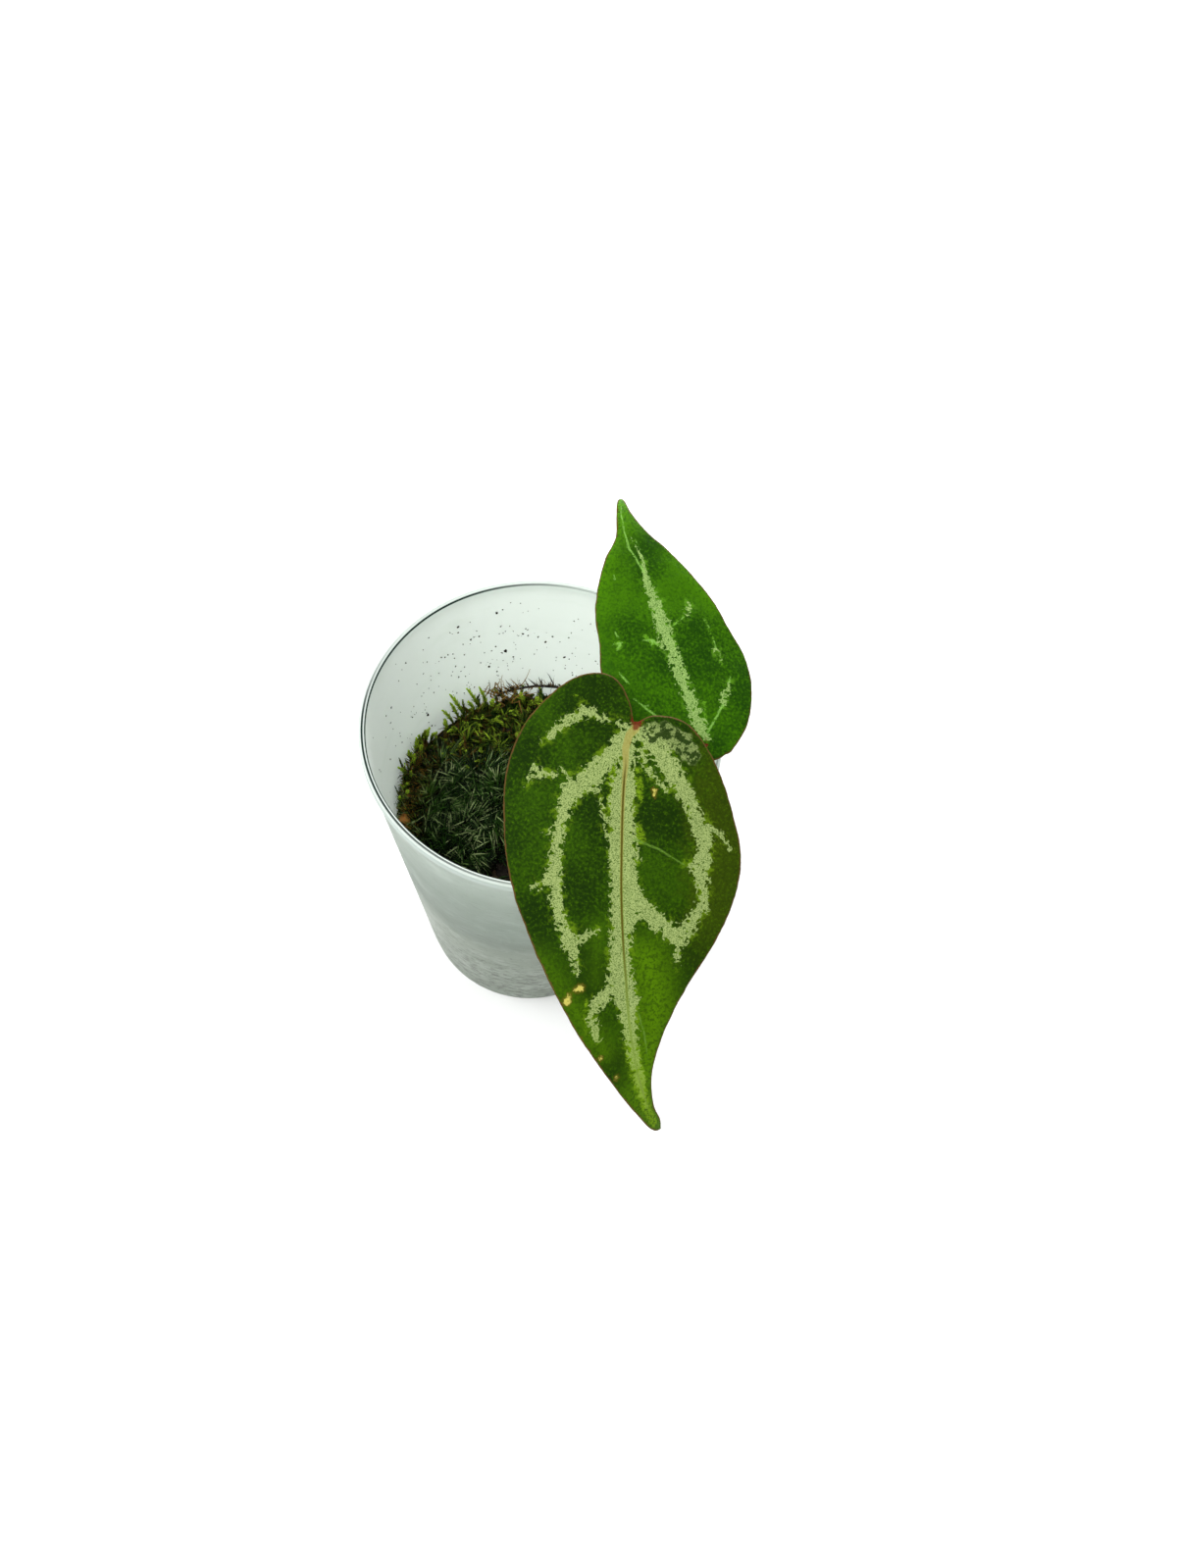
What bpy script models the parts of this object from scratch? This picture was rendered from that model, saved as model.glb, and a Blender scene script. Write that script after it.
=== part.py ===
"""A young potted anthurium: two silver-veined blades on slender petioles, rooted in soil and moss
in a milky tumbler. Origin at the centre of the tumbler's base, +Z up, the large leaf towards -Y."""

import math
import random

import bmesh
import bpy
import numpy as np
from mathutils import Matrix, Vector, geometry

MM = 0.001
# Meshes that touch on the real plant keep this between them.
SEAT_GAP = 0.3 * MM

# Tumbler, a turned form
CUP_HEIGHT = 115 * MM
RIM_RADIUS = 45 * MM
BASE_RADIUS = 32.4 * MM
WALL = 1.0 * MM
FLOOR = 1.4 * MM
LIP_WIDTH = 2.2 * MM
LIP_DEPTH = 3.2 * MM
LIP_OVERHANG = 0.7 * MM
BASE_EDGE = 1.6 * MM
CUP_SEGMENTS = 64

# Soil and the hole that the rootstock stands in
SOIL_LEVEL = 66 * MM
SOIL_SWELL = 0.7 * MM
HOLE_NECK_DEPTH = 8 * MM
HOLE_FOOT_RADIUS = 15 * MM
HOLE_FOOT = 14 * MM

# Rootstock and petioles
CROWN = Vector((12, -2, 74)) * MM
CROWN_RADIUS = 4.8 * MM
STEM_RADIUS = 3.6 * MM
STEM_FOOT = 42 * MM
ROOT_COUNT = 6
ROOT_RADIUS = 1.3 * MM
SHEATH_HEIGHT = 15 * MM
SHEATH_ANGLES = (math.radians(190), math.radians(80))
PETIOLE_RADIUS = 1.35 * MM

# Blades: the midrib's four control points, in millimetres, from the attachment to the tip
LARGE_MIDRIB = ((21.4, -19.3, 150), (20.1, -44.6, 143), (26.8, -86.1, 128), (40.6, -89.6, 98))
SMALL_MIDRIB = ((38.4, -10.5, 136), (25.8, 9.7, 144), (10.5, 37.2, 152), (11.3, 45.6, 148))
# Margins of a flattened blade, from the sinus to the tip: (along the midrib, out from it), in millimetres
LARGE_LEFT = (
    (-1, 0.4), (-5.5, 2.2), (-9.4, 5.4), (-10.4, 10), (-7.2, 16.4), (1, 22.3), (11, 25.4), (22, 25),
    (34, 22.7), (46, 18.3), (60, 12.5), (73, 7), (84, 3.7), (92, 2.2), (95.2, 0.4),
)
LARGE_RIGHT = (
    (-1, -0.4), (-3.2, -3.6), (-3.4, -9.5), (-0.4, -14.4), (7, -19.4), (17.4, -23.8), (27.2, -25.6),
    (38, -24.4), (47, -20.3), (57, -13.6), (67, -7.5), (76.7, -3), (86, -1.1), (92.5, -0.9), (95.2, 0.4),
)
SMALL_RIGHT = (
    (-0.6, 0.3), (-4.6, 0.8), (-4.5, 5), (0, 11), (7.9, 15.5), (15.9, 17.1), (24, 15.6), (31.2, 14.4),
    (39, 11.8), (46.6, 8), (52.5, 4.5), (58.8, 2.1), (63.4, 0.9), (64.6, 0),
)
SMALL_LEFT = (
    (-0.6, -0.3), (-4.4, -2.4), (-4.2, -6.4), (0, -11.6), (8, -16), (16, -17.6), (22.2, -17), (28, -15.2),
    (34, -14), (40.7, -11.2), (47.3, -7.2), (52.3, -3.2), (58.3, -1.6), (63.4, -0.8), (64.6, 0),
)
BLADE_THICKNESS = 0.7 * MM
LARGE_GRID = 4.2
SMALL_GRID = 3.6
# Cross-section of a blade: it rises from the sunken midrib, then falls away to the margin
MIDRIB_FOLD = 0.06
LARGE_DROOP = 0.007
SMALL_DROOP = 0.009
# Soft waves along the margin
WAVE_HEIGHT = 0.5
WAVE_LENGTH = 23

# Moss: two low mats, the dark cushion and the bright feathery one, with a line between them
CUSHION_CENTRE = Vector((-22.5, -7)) * MM
CUSHION_REACH = Vector((16, 24)) * MM
FEATHER_CENTRE = Vector((-7, 24)) * MM
FEATHER_REACH = Vector((38, 17)) * MM
MATS_PART_AT = 11.5 * MM
MATS_PART_SLOPE = -0.1
MAT_GAP = 0.5 * MM
MAT_HEIGHT = 5.6 * MM
MAT_EDGE = 2.2 * MM
MAT_SPOKES = 28
CUSHION_SHOOTS = 160
FEATHER_SHOOTS = 50

# Name: (colour, roughness, metallic)
MATERIALS = {
    "milky_plastic": ((0.62, 0.70, 0.66), 0.28, 0.0),
    "soil": ((0.035, 0.026, 0.018), 0.95, 0.0),
    "root": ((0.34, 0.27, 0.15), 0.75, 0.0),
    "petiole": ((0.13, 0.17, 0.04), 0.45, 0.0),
    "blade_dark": ((0.035, 0.105, 0.020), 0.42, 0.0),
    "blade_young": ((0.055, 0.190, 0.025), 0.42, 0.0),
    "moss_dark": ((0.030, 0.060, 0.018), 0.9, 0.0),
    "moss_bright": ((0.110, 0.190, 0.025), 0.9, 0.0),
}


def clear_scene():
    for thing in list(bpy.data.objects):
        bpy.data.objects.remove(thing, do_unlink=True)


def material(name):
    made = bpy.data.materials.get(name)
    if made is None:
        made = bpy.data.materials.new(name)
        made.use_nodes = True
        colour, roughness, metallic = MATERIALS[name]
        shader = made.node_tree.nodes["Principled BSDF"]
        shader.inputs["Base Color"].default_value = (*colour, 1)
        shader.inputs["Roughness"].default_value = roughness
        shader.inputs["Metallic"].default_value = metallic
    return made


def add_object(name, data, finish=None):
    thing = bpy.data.objects.new(name, data)
    bpy.context.scene.collection.objects.link(thing)
    if finish:
        data.materials.append(material(finish))
    return thing


def mesh_from(work, name):
    """The bmesh as a mesh with its faces turned outwards and shaded smooth up to 40 degrees."""
    bmesh.ops.recalc_face_normals(work, faces=work.faces)
    mesh = bpy.data.meshes.new(name)
    work.to_mesh(mesh)
    work.free()
    mesh.shade_smooth()
    mesh.set_sharp_from_angle(angle=math.radians(40))
    return mesh


def apply_modifiers(thing):
    """Replaces the object's mesh by what its modifiers make of it."""
    graph = bpy.context.evaluated_depsgraph_get()
    mesh = bpy.data.meshes.new_from_object(thing.evaluated_get(graph))
    thing.modifiers.clear()
    thing.data = mesh


def arc(centre, radius, start, end, steps):
    """Points of an arc in a profile's plane, as (out, up)."""
    turns = (math.radians(start + (end - start) * i / steps) for i in range(steps + 1))
    return [(centre[0] + radius * math.cos(a), centre[1] + radius * math.sin(a)) for a in turns]


def turned(name, profile, segments, finish=None):
    """Turns a profile of (out, up) points about Z; it starts and ends on the axis."""
    work = bmesh.new()
    points = [work.verts.new((out, 0, up)) for out, up in profile]
    edges = [work.edges.new(pair) for pair in zip(points, points[1:])]
    bmesh.ops.spin(
        work, geom=points + edges, cent=(0, 0, 0), axis=(0, 0, 1), angle=math.tau, steps=segments,
        use_merge=True,
    )
    bmesh.ops.remove_doubles(work, verts=work.verts, dist=0.00001)
    return add_object(name, mesh_from(work, name), finish)


def wall_radius(height):
    """Outside radius of the tumbler's tapered wall."""
    top = RIM_RADIUS - LIP_OVERHANG
    return BASE_RADIUS + (top - BASE_RADIUS) * height / (CUP_HEIGHT - LIP_DEPTH)


def bore_radius(height):
    return wall_radius(height) - WALL


def make_cup():
    under_lip = CUP_HEIGHT - LIP_DEPTH
    roll = LIP_WIDTH / 2
    outside = [(0, 0)] + arc((BASE_RADIUS - BASE_EDGE, BASE_EDGE), BASE_EDGE, -90, 0, 3)
    outside += [(wall_radius(under_lip), under_lip)]
    lip = [(RIM_RADIUS, under_lip + LIP_OVERHANG / 2)]
    lip += arc((RIM_RADIUS - roll, CUP_HEIGHT - roll), roll, 0, 180, 6)
    inside = [(bore_radius(under_lip), under_lip - LIP_OVERHANG)]
    corner = BASE_EDGE + WALL
    inside += arc((bore_radius(FLOOR) - corner, FLOOR + corner), corner, 0, -90, 3)
    turned("cup", outside + lip + inside + [(0, FLOOR)], CUP_SEGMENTS, "milky_plastic")


def soil_height(x, y):
    """The soil's top, gently uneven."""
    swell = math.sin(x / (9 * MM) + 1.0) + math.cos(y / (8 * MM) - 0.6)
    return SOIL_LEVEL + SOIL_SWELL * swell / 2


def hole_profile(top):
    """A plain hole that widens downwards round the roots, from its foot to the height given."""
    neck = CROWN_RADIUS + SEAT_GAP
    shoulder = SOIL_LEVEL - HOLE_NECK_DEPTH
    return [(0, HOLE_FOOT), (HOLE_FOOT_RADIUS, HOLE_FOOT), (HOLE_FOOT_RADIUS, 26 * MM), (neck, shoulder),
            (neck, top), (0, top)]


def make_soil():
    foot = FLOOR + SEAT_GAP
    corner = BASE_EDGE + WALL
    low = bore_radius(FLOOR) - corner
    rim = bore_radius(SOIL_LEVEL) - SEAT_GAP
    profile = [(0, foot)] + arc((low - SEAT_GAP, foot + corner), corner, -90, 0, 2)
    profile += [(rim - 0.6 * MM, SOIL_LEVEL - 6 * MM), (rim, SOIL_LEVEL)]
    profile += [(rim * share, SOIL_LEVEL) for share in (0.86, 0.7, 0.52, 0.34, 0.16, 0)]
    soil = turned("soil", profile, 40, "soil")
    for point in soil.data.vertices:
        if point.co.z > SOIL_LEVEL - 1 * MM:
            point.co.z = soil_height(point.co.x, point.co.y)
    cutter = turned("rootstock_hole", hole_profile(SOIL_LEVEL + 10 * MM), 20)
    cutter.location = (CROWN.x, CROWN.y, 0)
    cutter.hide_render = True
    cutter.display_type = "WIRE"
    cut = soil.modifiers.new("Hole", "BOOLEAN")
    cut.operation = "DIFFERENCE"
    cut.object = cutter


def smooth_through(points, spacing):
    """Points about a spacing apart on a smooth curve through the given ones, both ends included."""
    points = [Vector(point) for point in points]
    before = [points[0]] + points[:-1]
    after = points[1:] + [points[-1]]
    slopes = [(b - a) / 6 for a, b in zip(before, after)]
    found = [points[0]]
    for i in range(len(points) - 1):
        start, end = points[i], points[i + 1]
        steps = max(1, round((end - start).length / spacing))
        bend = geometry.interpolate_bezier(
            start.to_3d(), (start + slopes[i]).to_3d(), (end - slopes[i + 1]).to_3d(), end.to_3d(), steps + 1
        )
        found += bend[1:]
    return found


def tube(name, points, radii, sides, finish=None):
    """A round tube with closed ends; sides is the number of flats round it, a multiple of four."""
    curve = bpy.data.curves.new(name, "CURVE")
    curve.dimensions = "3D"
    curve.bevel_depth = 1.0
    curve.bevel_resolution = sides // 2 - 2
    curve.use_fill_caps = True
    line = curve.splines.new("POLY")
    line.points.add(len(points) - 1)
    for knot, point, radius in zip(line.points, points, radii):
        knot.co = (*point, 1)
        knot.radius = radius
    return add_object(name, curve, finish)


def as_mesh(thing):
    """A curve object turned into a mesh object of the same name."""
    graph = bpy.context.evaluated_depsgraph_get()
    mesh = bpy.data.meshes.new_from_object(thing.evaluated_get(graph))
    name = thing.name
    bpy.data.objects.remove(thing, do_unlink=True)
    work = bmesh.new()
    work.from_mesh(mesh)
    bmesh.ops.remove_doubles(work, verts=work.verts, dist=0.000001)
    return add_object(name, mesh_from(work, name))


def keep_largest(thing):
    """Drops loose scraps, and fills hollows that a union sealed, by keeping the largest shell only."""
    work = bmesh.new()
    work.from_mesh(thing.data)
    left = set(work.verts)
    shells = []
    while left:
        shell, reached = set(), {left.pop()}
        while reached:
            shell |= reached
            reached = {edge.other_vert(v) for v in reached for edge in v.link_edges} - shell
        left -= shell
        shells.append(shell)
    shells.sort(key=len)
    bmesh.ops.delete(work, geom=[v for shell in shells[:-1] for v in shell], context="VERTS")
    work.to_mesh(thing.data)
    work.free()


def fuse(name, core, pieces, finish):
    """Joins the pieces to the core in one solid of the given name."""
    group = bpy.data.collections.new(name + "_pieces")
    bpy.context.scene.collection.children.link(group)
    for piece in pieces:
        bpy.context.scene.collection.objects.unlink(piece)
        group.objects.link(piece)
    join = core.modifiers.new("Join", "BOOLEAN")
    join.operation = "UNION"
    join.operand_type = "COLLECTION"
    join.collection = group
    join.solver = "MANIFOLD"
    apply_modifiers(core)
    keep_largest(core)
    for piece in list(group.objects):
        bpy.data.objects.remove(piece, do_unlink=True)
    bpy.data.collections.remove(group)
    core.name = name
    core.data.materials.clear()
    core.data.materials.append(material(finish))


def root_course(turn, reach):
    """A root leaves the stem outwards and bends down towards the foot of the hole."""
    way = Vector((math.cos(turn), math.sin(turn), 0))
    side = Vector((-way.y, way.x, 0))
    stem = Vector((CROWN.x, CROWN.y, 0))
    heights = (STEM_FOOT + 7 * MM, STEM_FOOT + 2 * MM, 32 * MM, 24 * MM, HOLE_FOOT + 2 * MM)
    outs = (1.0 * MM, 3.6 * MM, reach * 0.62, reach * 0.85, reach)
    sways = (0, 0, 0.8 * MM, -0.6 * MM, 0.9 * MM)
    knots = [stem + way * out + side * sway + Vector((0, 0, up)) for out, sway, up in zip(outs, sways, heights)]
    return smooth_through(knots, 4 * MM)


def make_root(number):
    course = root_course(math.tau * number / ROOT_COUNT + 0.3, (11.0 if number % 2 else 6.5) * MM)
    taper = [ROOT_RADIUS * (1 - 0.45 * i / (len(course) - 1)) for i in range(len(course))]
    return as_mesh(tube(f"root_{number}", course, taper, 8))


def make_sheath(number, turn):
    """A papery scale leaf that stands on the crown, wrapped part of the way round it."""
    radius = CROWN_RADIUS - 0.7 * MM
    rows = 5
    work = bmesh.new()
    grid = []
    for row in range(rows + 1):
        share = row / rows
        half_wrap = math.radians(44) * (1 - share) ** 0.6
        out = radius + 1.2 * MM * share * share
        up = CROWN.z - 4 * MM + (SHEATH_HEIGHT + 4 * MM) * share
        angles = (turn - half_wrap, turn, turn + half_wrap) if row < rows else (turn,)
        middle = Vector((CROWN.x, CROWN.y, up))
        grid.append([work.verts.new(middle + out * Vector((math.cos(a), math.sin(a), 0))) for a in angles])
    for low, high in zip(grid[:-2], grid[1:-1]):
        for side in (0, 1):
            work.faces.new((low[side], low[side + 1], high[side + 1], high[side]))
    for side in (0, 1):
        work.faces.new((grid[-2][side], grid[-2][side + 1], grid[-1][0]))
    sheath = add_object(f"sheath_{number}", mesh_from(work, f"sheath_{number}"))
    shell = sheath.modifiers.new("Shell", "SOLIDIFY")
    shell.thickness = 0.6 * MM
    shell.offset = 0
    apply_modifiers(sheath)
    return sheath


def make_rootstock():
    profile = [(0, STEM_FOOT), (STEM_RADIUS * 0.6, STEM_FOOT), (STEM_RADIUS, STEM_FOOT + 3 * MM)]
    profile += [(STEM_RADIUS, SOIL_LEVEL - HOLE_NECK_DEPTH + 1 * MM), (CROWN_RADIUS, SOIL_LEVEL - 4 * MM)]
    profile += [(CROWN_RADIUS, CROWN.z - 1 * MM), (CROWN_RADIUS - 1 * MM, CROWN.z), (0, CROWN.z)]
    stem = turned("stem", profile, 20)
    stem.data.transform(Matrix.Translation((CROWN.x, CROWN.y, 0)))
    roots = [make_root(number) for number in range(ROOT_COUNT)]
    sheaths = [make_sheath(number, turn) for number, turn in enumerate(SHEATH_ANGLES)]
    fuse("rootstock", stem, roots + sheaths, "root")


class Blade:
    """Carries places on the flattened leaf, in millimetres, to places on the arched one, in metres."""

    def __init__(self, midrib, droop):
        share = np.linspace(0, 1, 200)[:, None]
        a, b, c, d = np.array(midrib, float)
        line = (1 - share) ** 3 * a + 3 * share * (1 - share) ** 2 * b
        line += 3 * share ** 2 * (1 - share) * c + share ** 3 * d
        steps = np.linalg.norm(np.diff(line, axis=0), axis=1)
        self.length = np.concatenate([[0], np.cumsum(steps)])
        self.line = line
        self.slope = np.gradient(line, axis=0)
        self.droop = droop

    def read(self, table, along):
        return Vector([np.interp(along, self.length, table[:, axis]) for axis in range(3)])

    def frame(self, along):
        """The midrib's point, its direction, and the directions out along the blade and off its face."""
        ahead = self.read(self.slope, along).normalized()
        out = ahead.cross(Vector((0, 0, 1))).normalized()
        point = self.read(self.line, along)
        past = along - min(max(along, 0), self.length[-1])
        return point + ahead * past, ahead, out, out.cross(ahead)

    def place(self, along, out):
        point, _, sideways, upwards = self.frame(along)
        rise = MIDRIB_FOLD * abs(out) - self.droop * out * out
        rise += WAVE_HEIGHT * (out / 20) ** 2 * math.sin(math.tau * along / WAVE_LENGTH)
        return (point + sideways * out + upwards * rise) * MM

    def seat(self, along):
        """Where the petiole's end lies under the blade, and the direction it arrives in."""
        point, _, _, upwards = self.frame(along)
        return point * MM - upwards * (BLADE_THICKNESS / 2 + SEAT_GAP), upwards


def inside(point, outline):
    """Whether a flat point is inside a closed outline."""
    hit = False
    for a, b in zip(outline, outline[1:] + outline[:1]):
        if (a.y > point.y) != (b.y > point.y):
            hit ^= point.x < a.x + (point.y - a.y) * (b.x - a.x) / (b.y - a.y)
    return hit


def blade_pattern(left, right, spacing):
    """Triangles that fill the flattened leaf, with points along its midrib."""
    rim = smooth_through(left, spacing * 0.75) + smooth_through(right, spacing * 0.75)[-2:0:-1]
    rim = [point.to_2d() for point in rim]
    filling = []
    rows = int(30 / spacing)
    for row in range(-rows, rows + 1):
        out = row * spacing * 0.87
        shift = 0.5 * spacing * (row % 2)
        for step in range(-4, int(100 / spacing)):
            point = Vector((step * spacing + shift, out))
            near = min((point - other).length for other in rim)
            if near > spacing * 0.55 and inside(point, rim):
                filling.append(point)
    edges = [(i, (i + 1) % len(rim)) for i in range(len(rim))]
    points, _, faces, *_ = geometry.delaunay_2d_cdt(rim + filling, edges, [], 1, 0.0001)
    return points, faces


def make_blade(name, blade, left, right, spacing, finish):
    points, faces = blade_pattern(left, right, spacing)
    mesh = bpy.data.meshes.new(name)
    mesh.from_pydata([blade.place(*point) for point in points], [], faces)
    work = bmesh.new()
    work.from_mesh(mesh)
    bmesh.ops.recalc_face_normals(work, faces=work.faces)
    if sum(face.normal.z for face in work.faces) < 0:
        bmesh.ops.reverse_faces(work, faces=work.faces)
    work.to_mesh(mesh)
    work.free()
    mesh.shade_smooth()
    leaf = add_object(name, mesh, finish)
    body = leaf.modifiers.new("Body", "SOLIDIFY")
    body.thickness = BLADE_THICKNESS
    body.offset = 0


def make_petiole(name, blade, base, lean):
    """A round stalk from the crown to the blade, swollen at the knee just under the blade."""
    seat, upwards = blade.seat(1.3)
    start = Vector((base[0], base[1], 0)) * MM + Vector((0, 0, CROWN.z + SEAT_GAP))
    knots = [start, start + Vector((0, 0, 1.5 * MM)), start + Vector((0, 0, 7 * MM))]
    knots.append(start.lerp(seat, 0.45) + Vector(lean) * MM)
    knots.append(start.lerp(seat, 0.75) + Vector(lean) * 0.8 * MM)
    knots += [seat - upwards * 4.5 * MM, seat - upwards * 1 * MM, seat]
    course = smooth_through(knots, 3.2 * MM)
    length = (seat - start).length
    radii = []
    for point in course:
        below = (seat - point).length
        knee = math.exp(-((below - 3 * MM) / (2.4 * MM)) ** 2)
        foot = math.exp(-(length - below) / (9 * MM))
        radii.append(PETIOLE_RADIUS * (0.82 + 0.30 * knee + 0.28 * foot))
    tube(name, course, radii, 8, "petiole")


def mat_reach(centre, reach, turn, side):
    """How far a mat spreads from its centre in one direction: to its own round edge, the wall or the gap."""
    way = Vector((math.cos(turn), math.sin(turn)))
    own = 1 / math.hypot(way.x / reach.x, way.y / reach.y)
    limit = bore_radius(SOIL_LEVEL) - MAT_GAP
    inward = centre.dot(way)
    wall = -inward + math.sqrt(inward * inward - centre.length_squared + limit * limit)
    edge_y = MATS_PART_AT + MATS_PART_SLOPE * centre.x - centre.y + side * MAT_GAP
    closing = way.y - MATS_PART_SLOPE * way.x
    line = edge_y / closing if closing * edge_y > 0 else own
    return min(own, wall, line)


def make_mat_core(name, centre, reach, side):
    """A low closed mat over the soil, with the same points below as above."""
    shares = (0.3, 0.55, 0.78, 0.93, 1.0)
    work = bmesh.new()

    def point(x, y, share, top):
        low = soil_height(x, y) + SEAT_GAP + 0.15 * MM
        swell = 0.8 * MM * math.sin(x / (3.1 * MM)) * math.sin(y / (3.7 * MM))
        rise = MAT_EDGE + (MAT_HEIGHT - MAT_EDGE) * math.sqrt(1 - share ** 3) + swell * (1 - share)
        return work.verts.new((x, y, low + rise * top))

    sheets = []
    for top in (1, 0):
        rings = [[point(*centre, 0, top)]]
        for share in shares:
            ring = []
            for spoke in range(MAT_SPOKES):
                turn = math.tau * spoke / MAT_SPOKES
                far = mat_reach(centre, reach, turn, side) * share
                ring.append(point(centre.x + far * math.cos(turn), centre.y + far * math.sin(turn), share, top))
            rings.append(ring)
        sheets.append(rings)
    for rings in sheets:
        for i in range(MAT_SPOKES):
            j = (i + 1) % MAT_SPOKES
            work.faces.new((rings[0][0], rings[1][i], rings[1][j]))
            for inner, outer in zip(rings[1:], rings[2:]):
                work.faces.new((inner[i], outer[i], outer[j], inner[j]))
    top_edge, low_edge = sheets[0][-1], sheets[1][-1]
    for i in range(MAT_SPOKES):
        j = (i + 1) % MAT_SPOKES
        work.faces.new((top_edge[i], low_edge[i], low_edge[j], top_edge[j]))
    return add_object(name, mesh_from(work, name))


def shoot_is_clear(tip, side):
    """Whether a shoot's tip stays inside the tumbler and on its own mat's side of the gap."""
    if tip.xy.length > bore_radius(tip.z) - 0.9 * MM:
        return False
    past_line = tip.y - (MATS_PART_AT + MATS_PART_SLOPE * tip.x)
    return past_line * side > 1.2 * MM


def make_shoot(name, foot, tip, radii, sides):
    """A pointed shoot whose thickness follows the radii given, from foot to tip."""
    work = bmesh.new()
    axis = tip - foot
    turn = axis.to_track_quat("Z", "X")
    rings = []
    for step, radius in enumerate(radii):
        centre = foot + axis * (step / len(radii))
        spin = math.pi / sides * (step % 2)
        corners = [math.tau * k / sides + spin for k in range(sides)]
        rings.append([work.verts.new(centre + turn @ Vector((radius * math.cos(a), radius * math.sin(a), 0)))
                      for a in corners])
    end = work.verts.new(tip)
    work.faces.new(rings[0][::-1])
    for step, (low, high) in enumerate(zip(rings, rings[1:])):
        for k in range(sides):
            m = (k + 1) % sides
            if step % 2:
                work.faces.new((low[k], low[m], high[m]))
                work.faces.new((low[k], high[m], high[k]))
            else:
                work.faces.new((low[k], low[m], high[k]))
                work.faces.new((low[m], high[m], high[k]))
    for k in range(sides):
        work.faces.new((rings[-1][k], rings[-1][(k + 1) % sides], end))
    return add_object(name, mesh_from(work, name))


def make_mat(name, centre, reach, side, count, heights, radii, sides, seed, finish):
    """A mat with its shoots, which lean away from its middle and stand clear of the wall."""
    draw = random.Random(seed)
    core = make_mat_core(name + "_core", centre, reach, side)
    shoots = []
    while len(shoots) < count:
        turn = draw.uniform(0, math.tau)
        share = math.sqrt(draw.uniform(0.0, 0.84))
        far = mat_reach(centre, reach, turn, side) * share
        foot = Vector((centre.x + far * math.cos(turn), centre.y + far * math.sin(turn), 0))
        foot.z = soil_height(foot.x, foot.y) + MAT_EDGE * 0.7
        lean = Vector((math.cos(turn), math.sin(turn), 0)) * draw.uniform(0.1, 0.55)
        lean += Vector((draw.uniform(-0.25, 0.25), draw.uniform(-0.25, 0.25), 0))
        length = draw.uniform(*heights) + MAT_HEIGHT * math.sqrt(1 - share ** 3) * 0.6
        tip = foot + (Vector((0, 0, 1)) + lean).normalized() * length
        if not shoot_is_clear(tip, side):
            tip = foot + (Vector((0, 0, 1)) - lean * 0.6).normalized() * length
        if shoot_is_clear(tip, side):
            shoots.append(make_shoot(f"{name}_shoot_{len(shoots)}", foot, tip, radii, sides))
    fuse(name, core, shoots, finish)


def make_moss():
    needle = [0.95 * MM]
    feather = [0.8 * MM, 1.5 * MM, 0.7 * MM]
    make_mat("moss_cushion", CUSHION_CENTRE, CUSHION_REACH, -1, CUSHION_SHOOTS, (6 * MM, 9 * MM), needle, 3, 5,
             "moss_dark")
    make_mat("moss_feather", FEATHER_CENTRE, FEATHER_REACH, 1, FEATHER_SHOOTS, (7 * MM, 11 * MM), feather, 3, 8,
             "moss_bright")


def make_plant():
    large = Blade(LARGE_MIDRIB, LARGE_DROOP)
    small = Blade(SMALL_MIDRIB, SMALL_DROOP)
    make_blade("blade_large", large, LARGE_LEFT, LARGE_RIGHT, LARGE_GRID, "blade_dark")
    make_blade("blade_small", small, SMALL_LEFT, SMALL_RIGHT, SMALL_GRID, "blade_young")
    make_petiole("petiole_large", large, (10.9, -3.2), (0.5, 2.5, 0))
    make_petiole("petiole_small", small, (13.3, -0.9), (1.5, -1.0, 0))


clear_scene()
make_cup()
make_soil()
make_rootstock()
make_plant()
make_moss()
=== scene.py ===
import math
from functools import partialmethod

import bmesh
import bpy
import numpy as np
from mathutils import Matrix, Vector, geometry, noise


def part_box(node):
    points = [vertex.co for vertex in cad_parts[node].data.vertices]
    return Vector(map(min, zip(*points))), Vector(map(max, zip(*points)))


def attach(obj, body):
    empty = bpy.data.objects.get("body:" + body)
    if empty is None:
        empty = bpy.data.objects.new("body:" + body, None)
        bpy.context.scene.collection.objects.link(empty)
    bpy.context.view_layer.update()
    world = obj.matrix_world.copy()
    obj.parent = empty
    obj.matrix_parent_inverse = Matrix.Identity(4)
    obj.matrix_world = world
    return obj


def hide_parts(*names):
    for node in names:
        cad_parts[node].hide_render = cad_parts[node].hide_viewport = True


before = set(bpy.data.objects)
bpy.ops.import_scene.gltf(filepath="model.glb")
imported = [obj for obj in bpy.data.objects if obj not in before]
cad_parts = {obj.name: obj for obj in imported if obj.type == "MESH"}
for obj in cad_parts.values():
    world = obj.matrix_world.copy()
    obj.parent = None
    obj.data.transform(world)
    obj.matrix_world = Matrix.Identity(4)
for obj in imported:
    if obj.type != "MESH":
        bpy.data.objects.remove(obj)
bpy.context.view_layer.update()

# The tumbler: an injection-moulded drinking cup of milky, slightly green plastic with a tapered wall,
# a rolled lip and a flat base. It is the pot.
# Sizes are in millimetres, apart from those of the lights and the camera, and MM makes them metres.
MM = 0.001
CUP_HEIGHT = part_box("cup")[1].z / MM
RIM_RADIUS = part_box("cup")[1].x / MM
BASE_RADIUS = 32.4
WALL = 1.0
FLOOR = 1.4
LIP_WIDTH = 1.8
LIP_DEPTH = 3.2
LIP_OVERHANG = 0.7
LIP_GROOVE = 0.25
BASE_EDGE = 1.6
FOOT_RING = 3.4
FOOT_RECESS = 0.5
CUP_TURNS = 168


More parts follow.
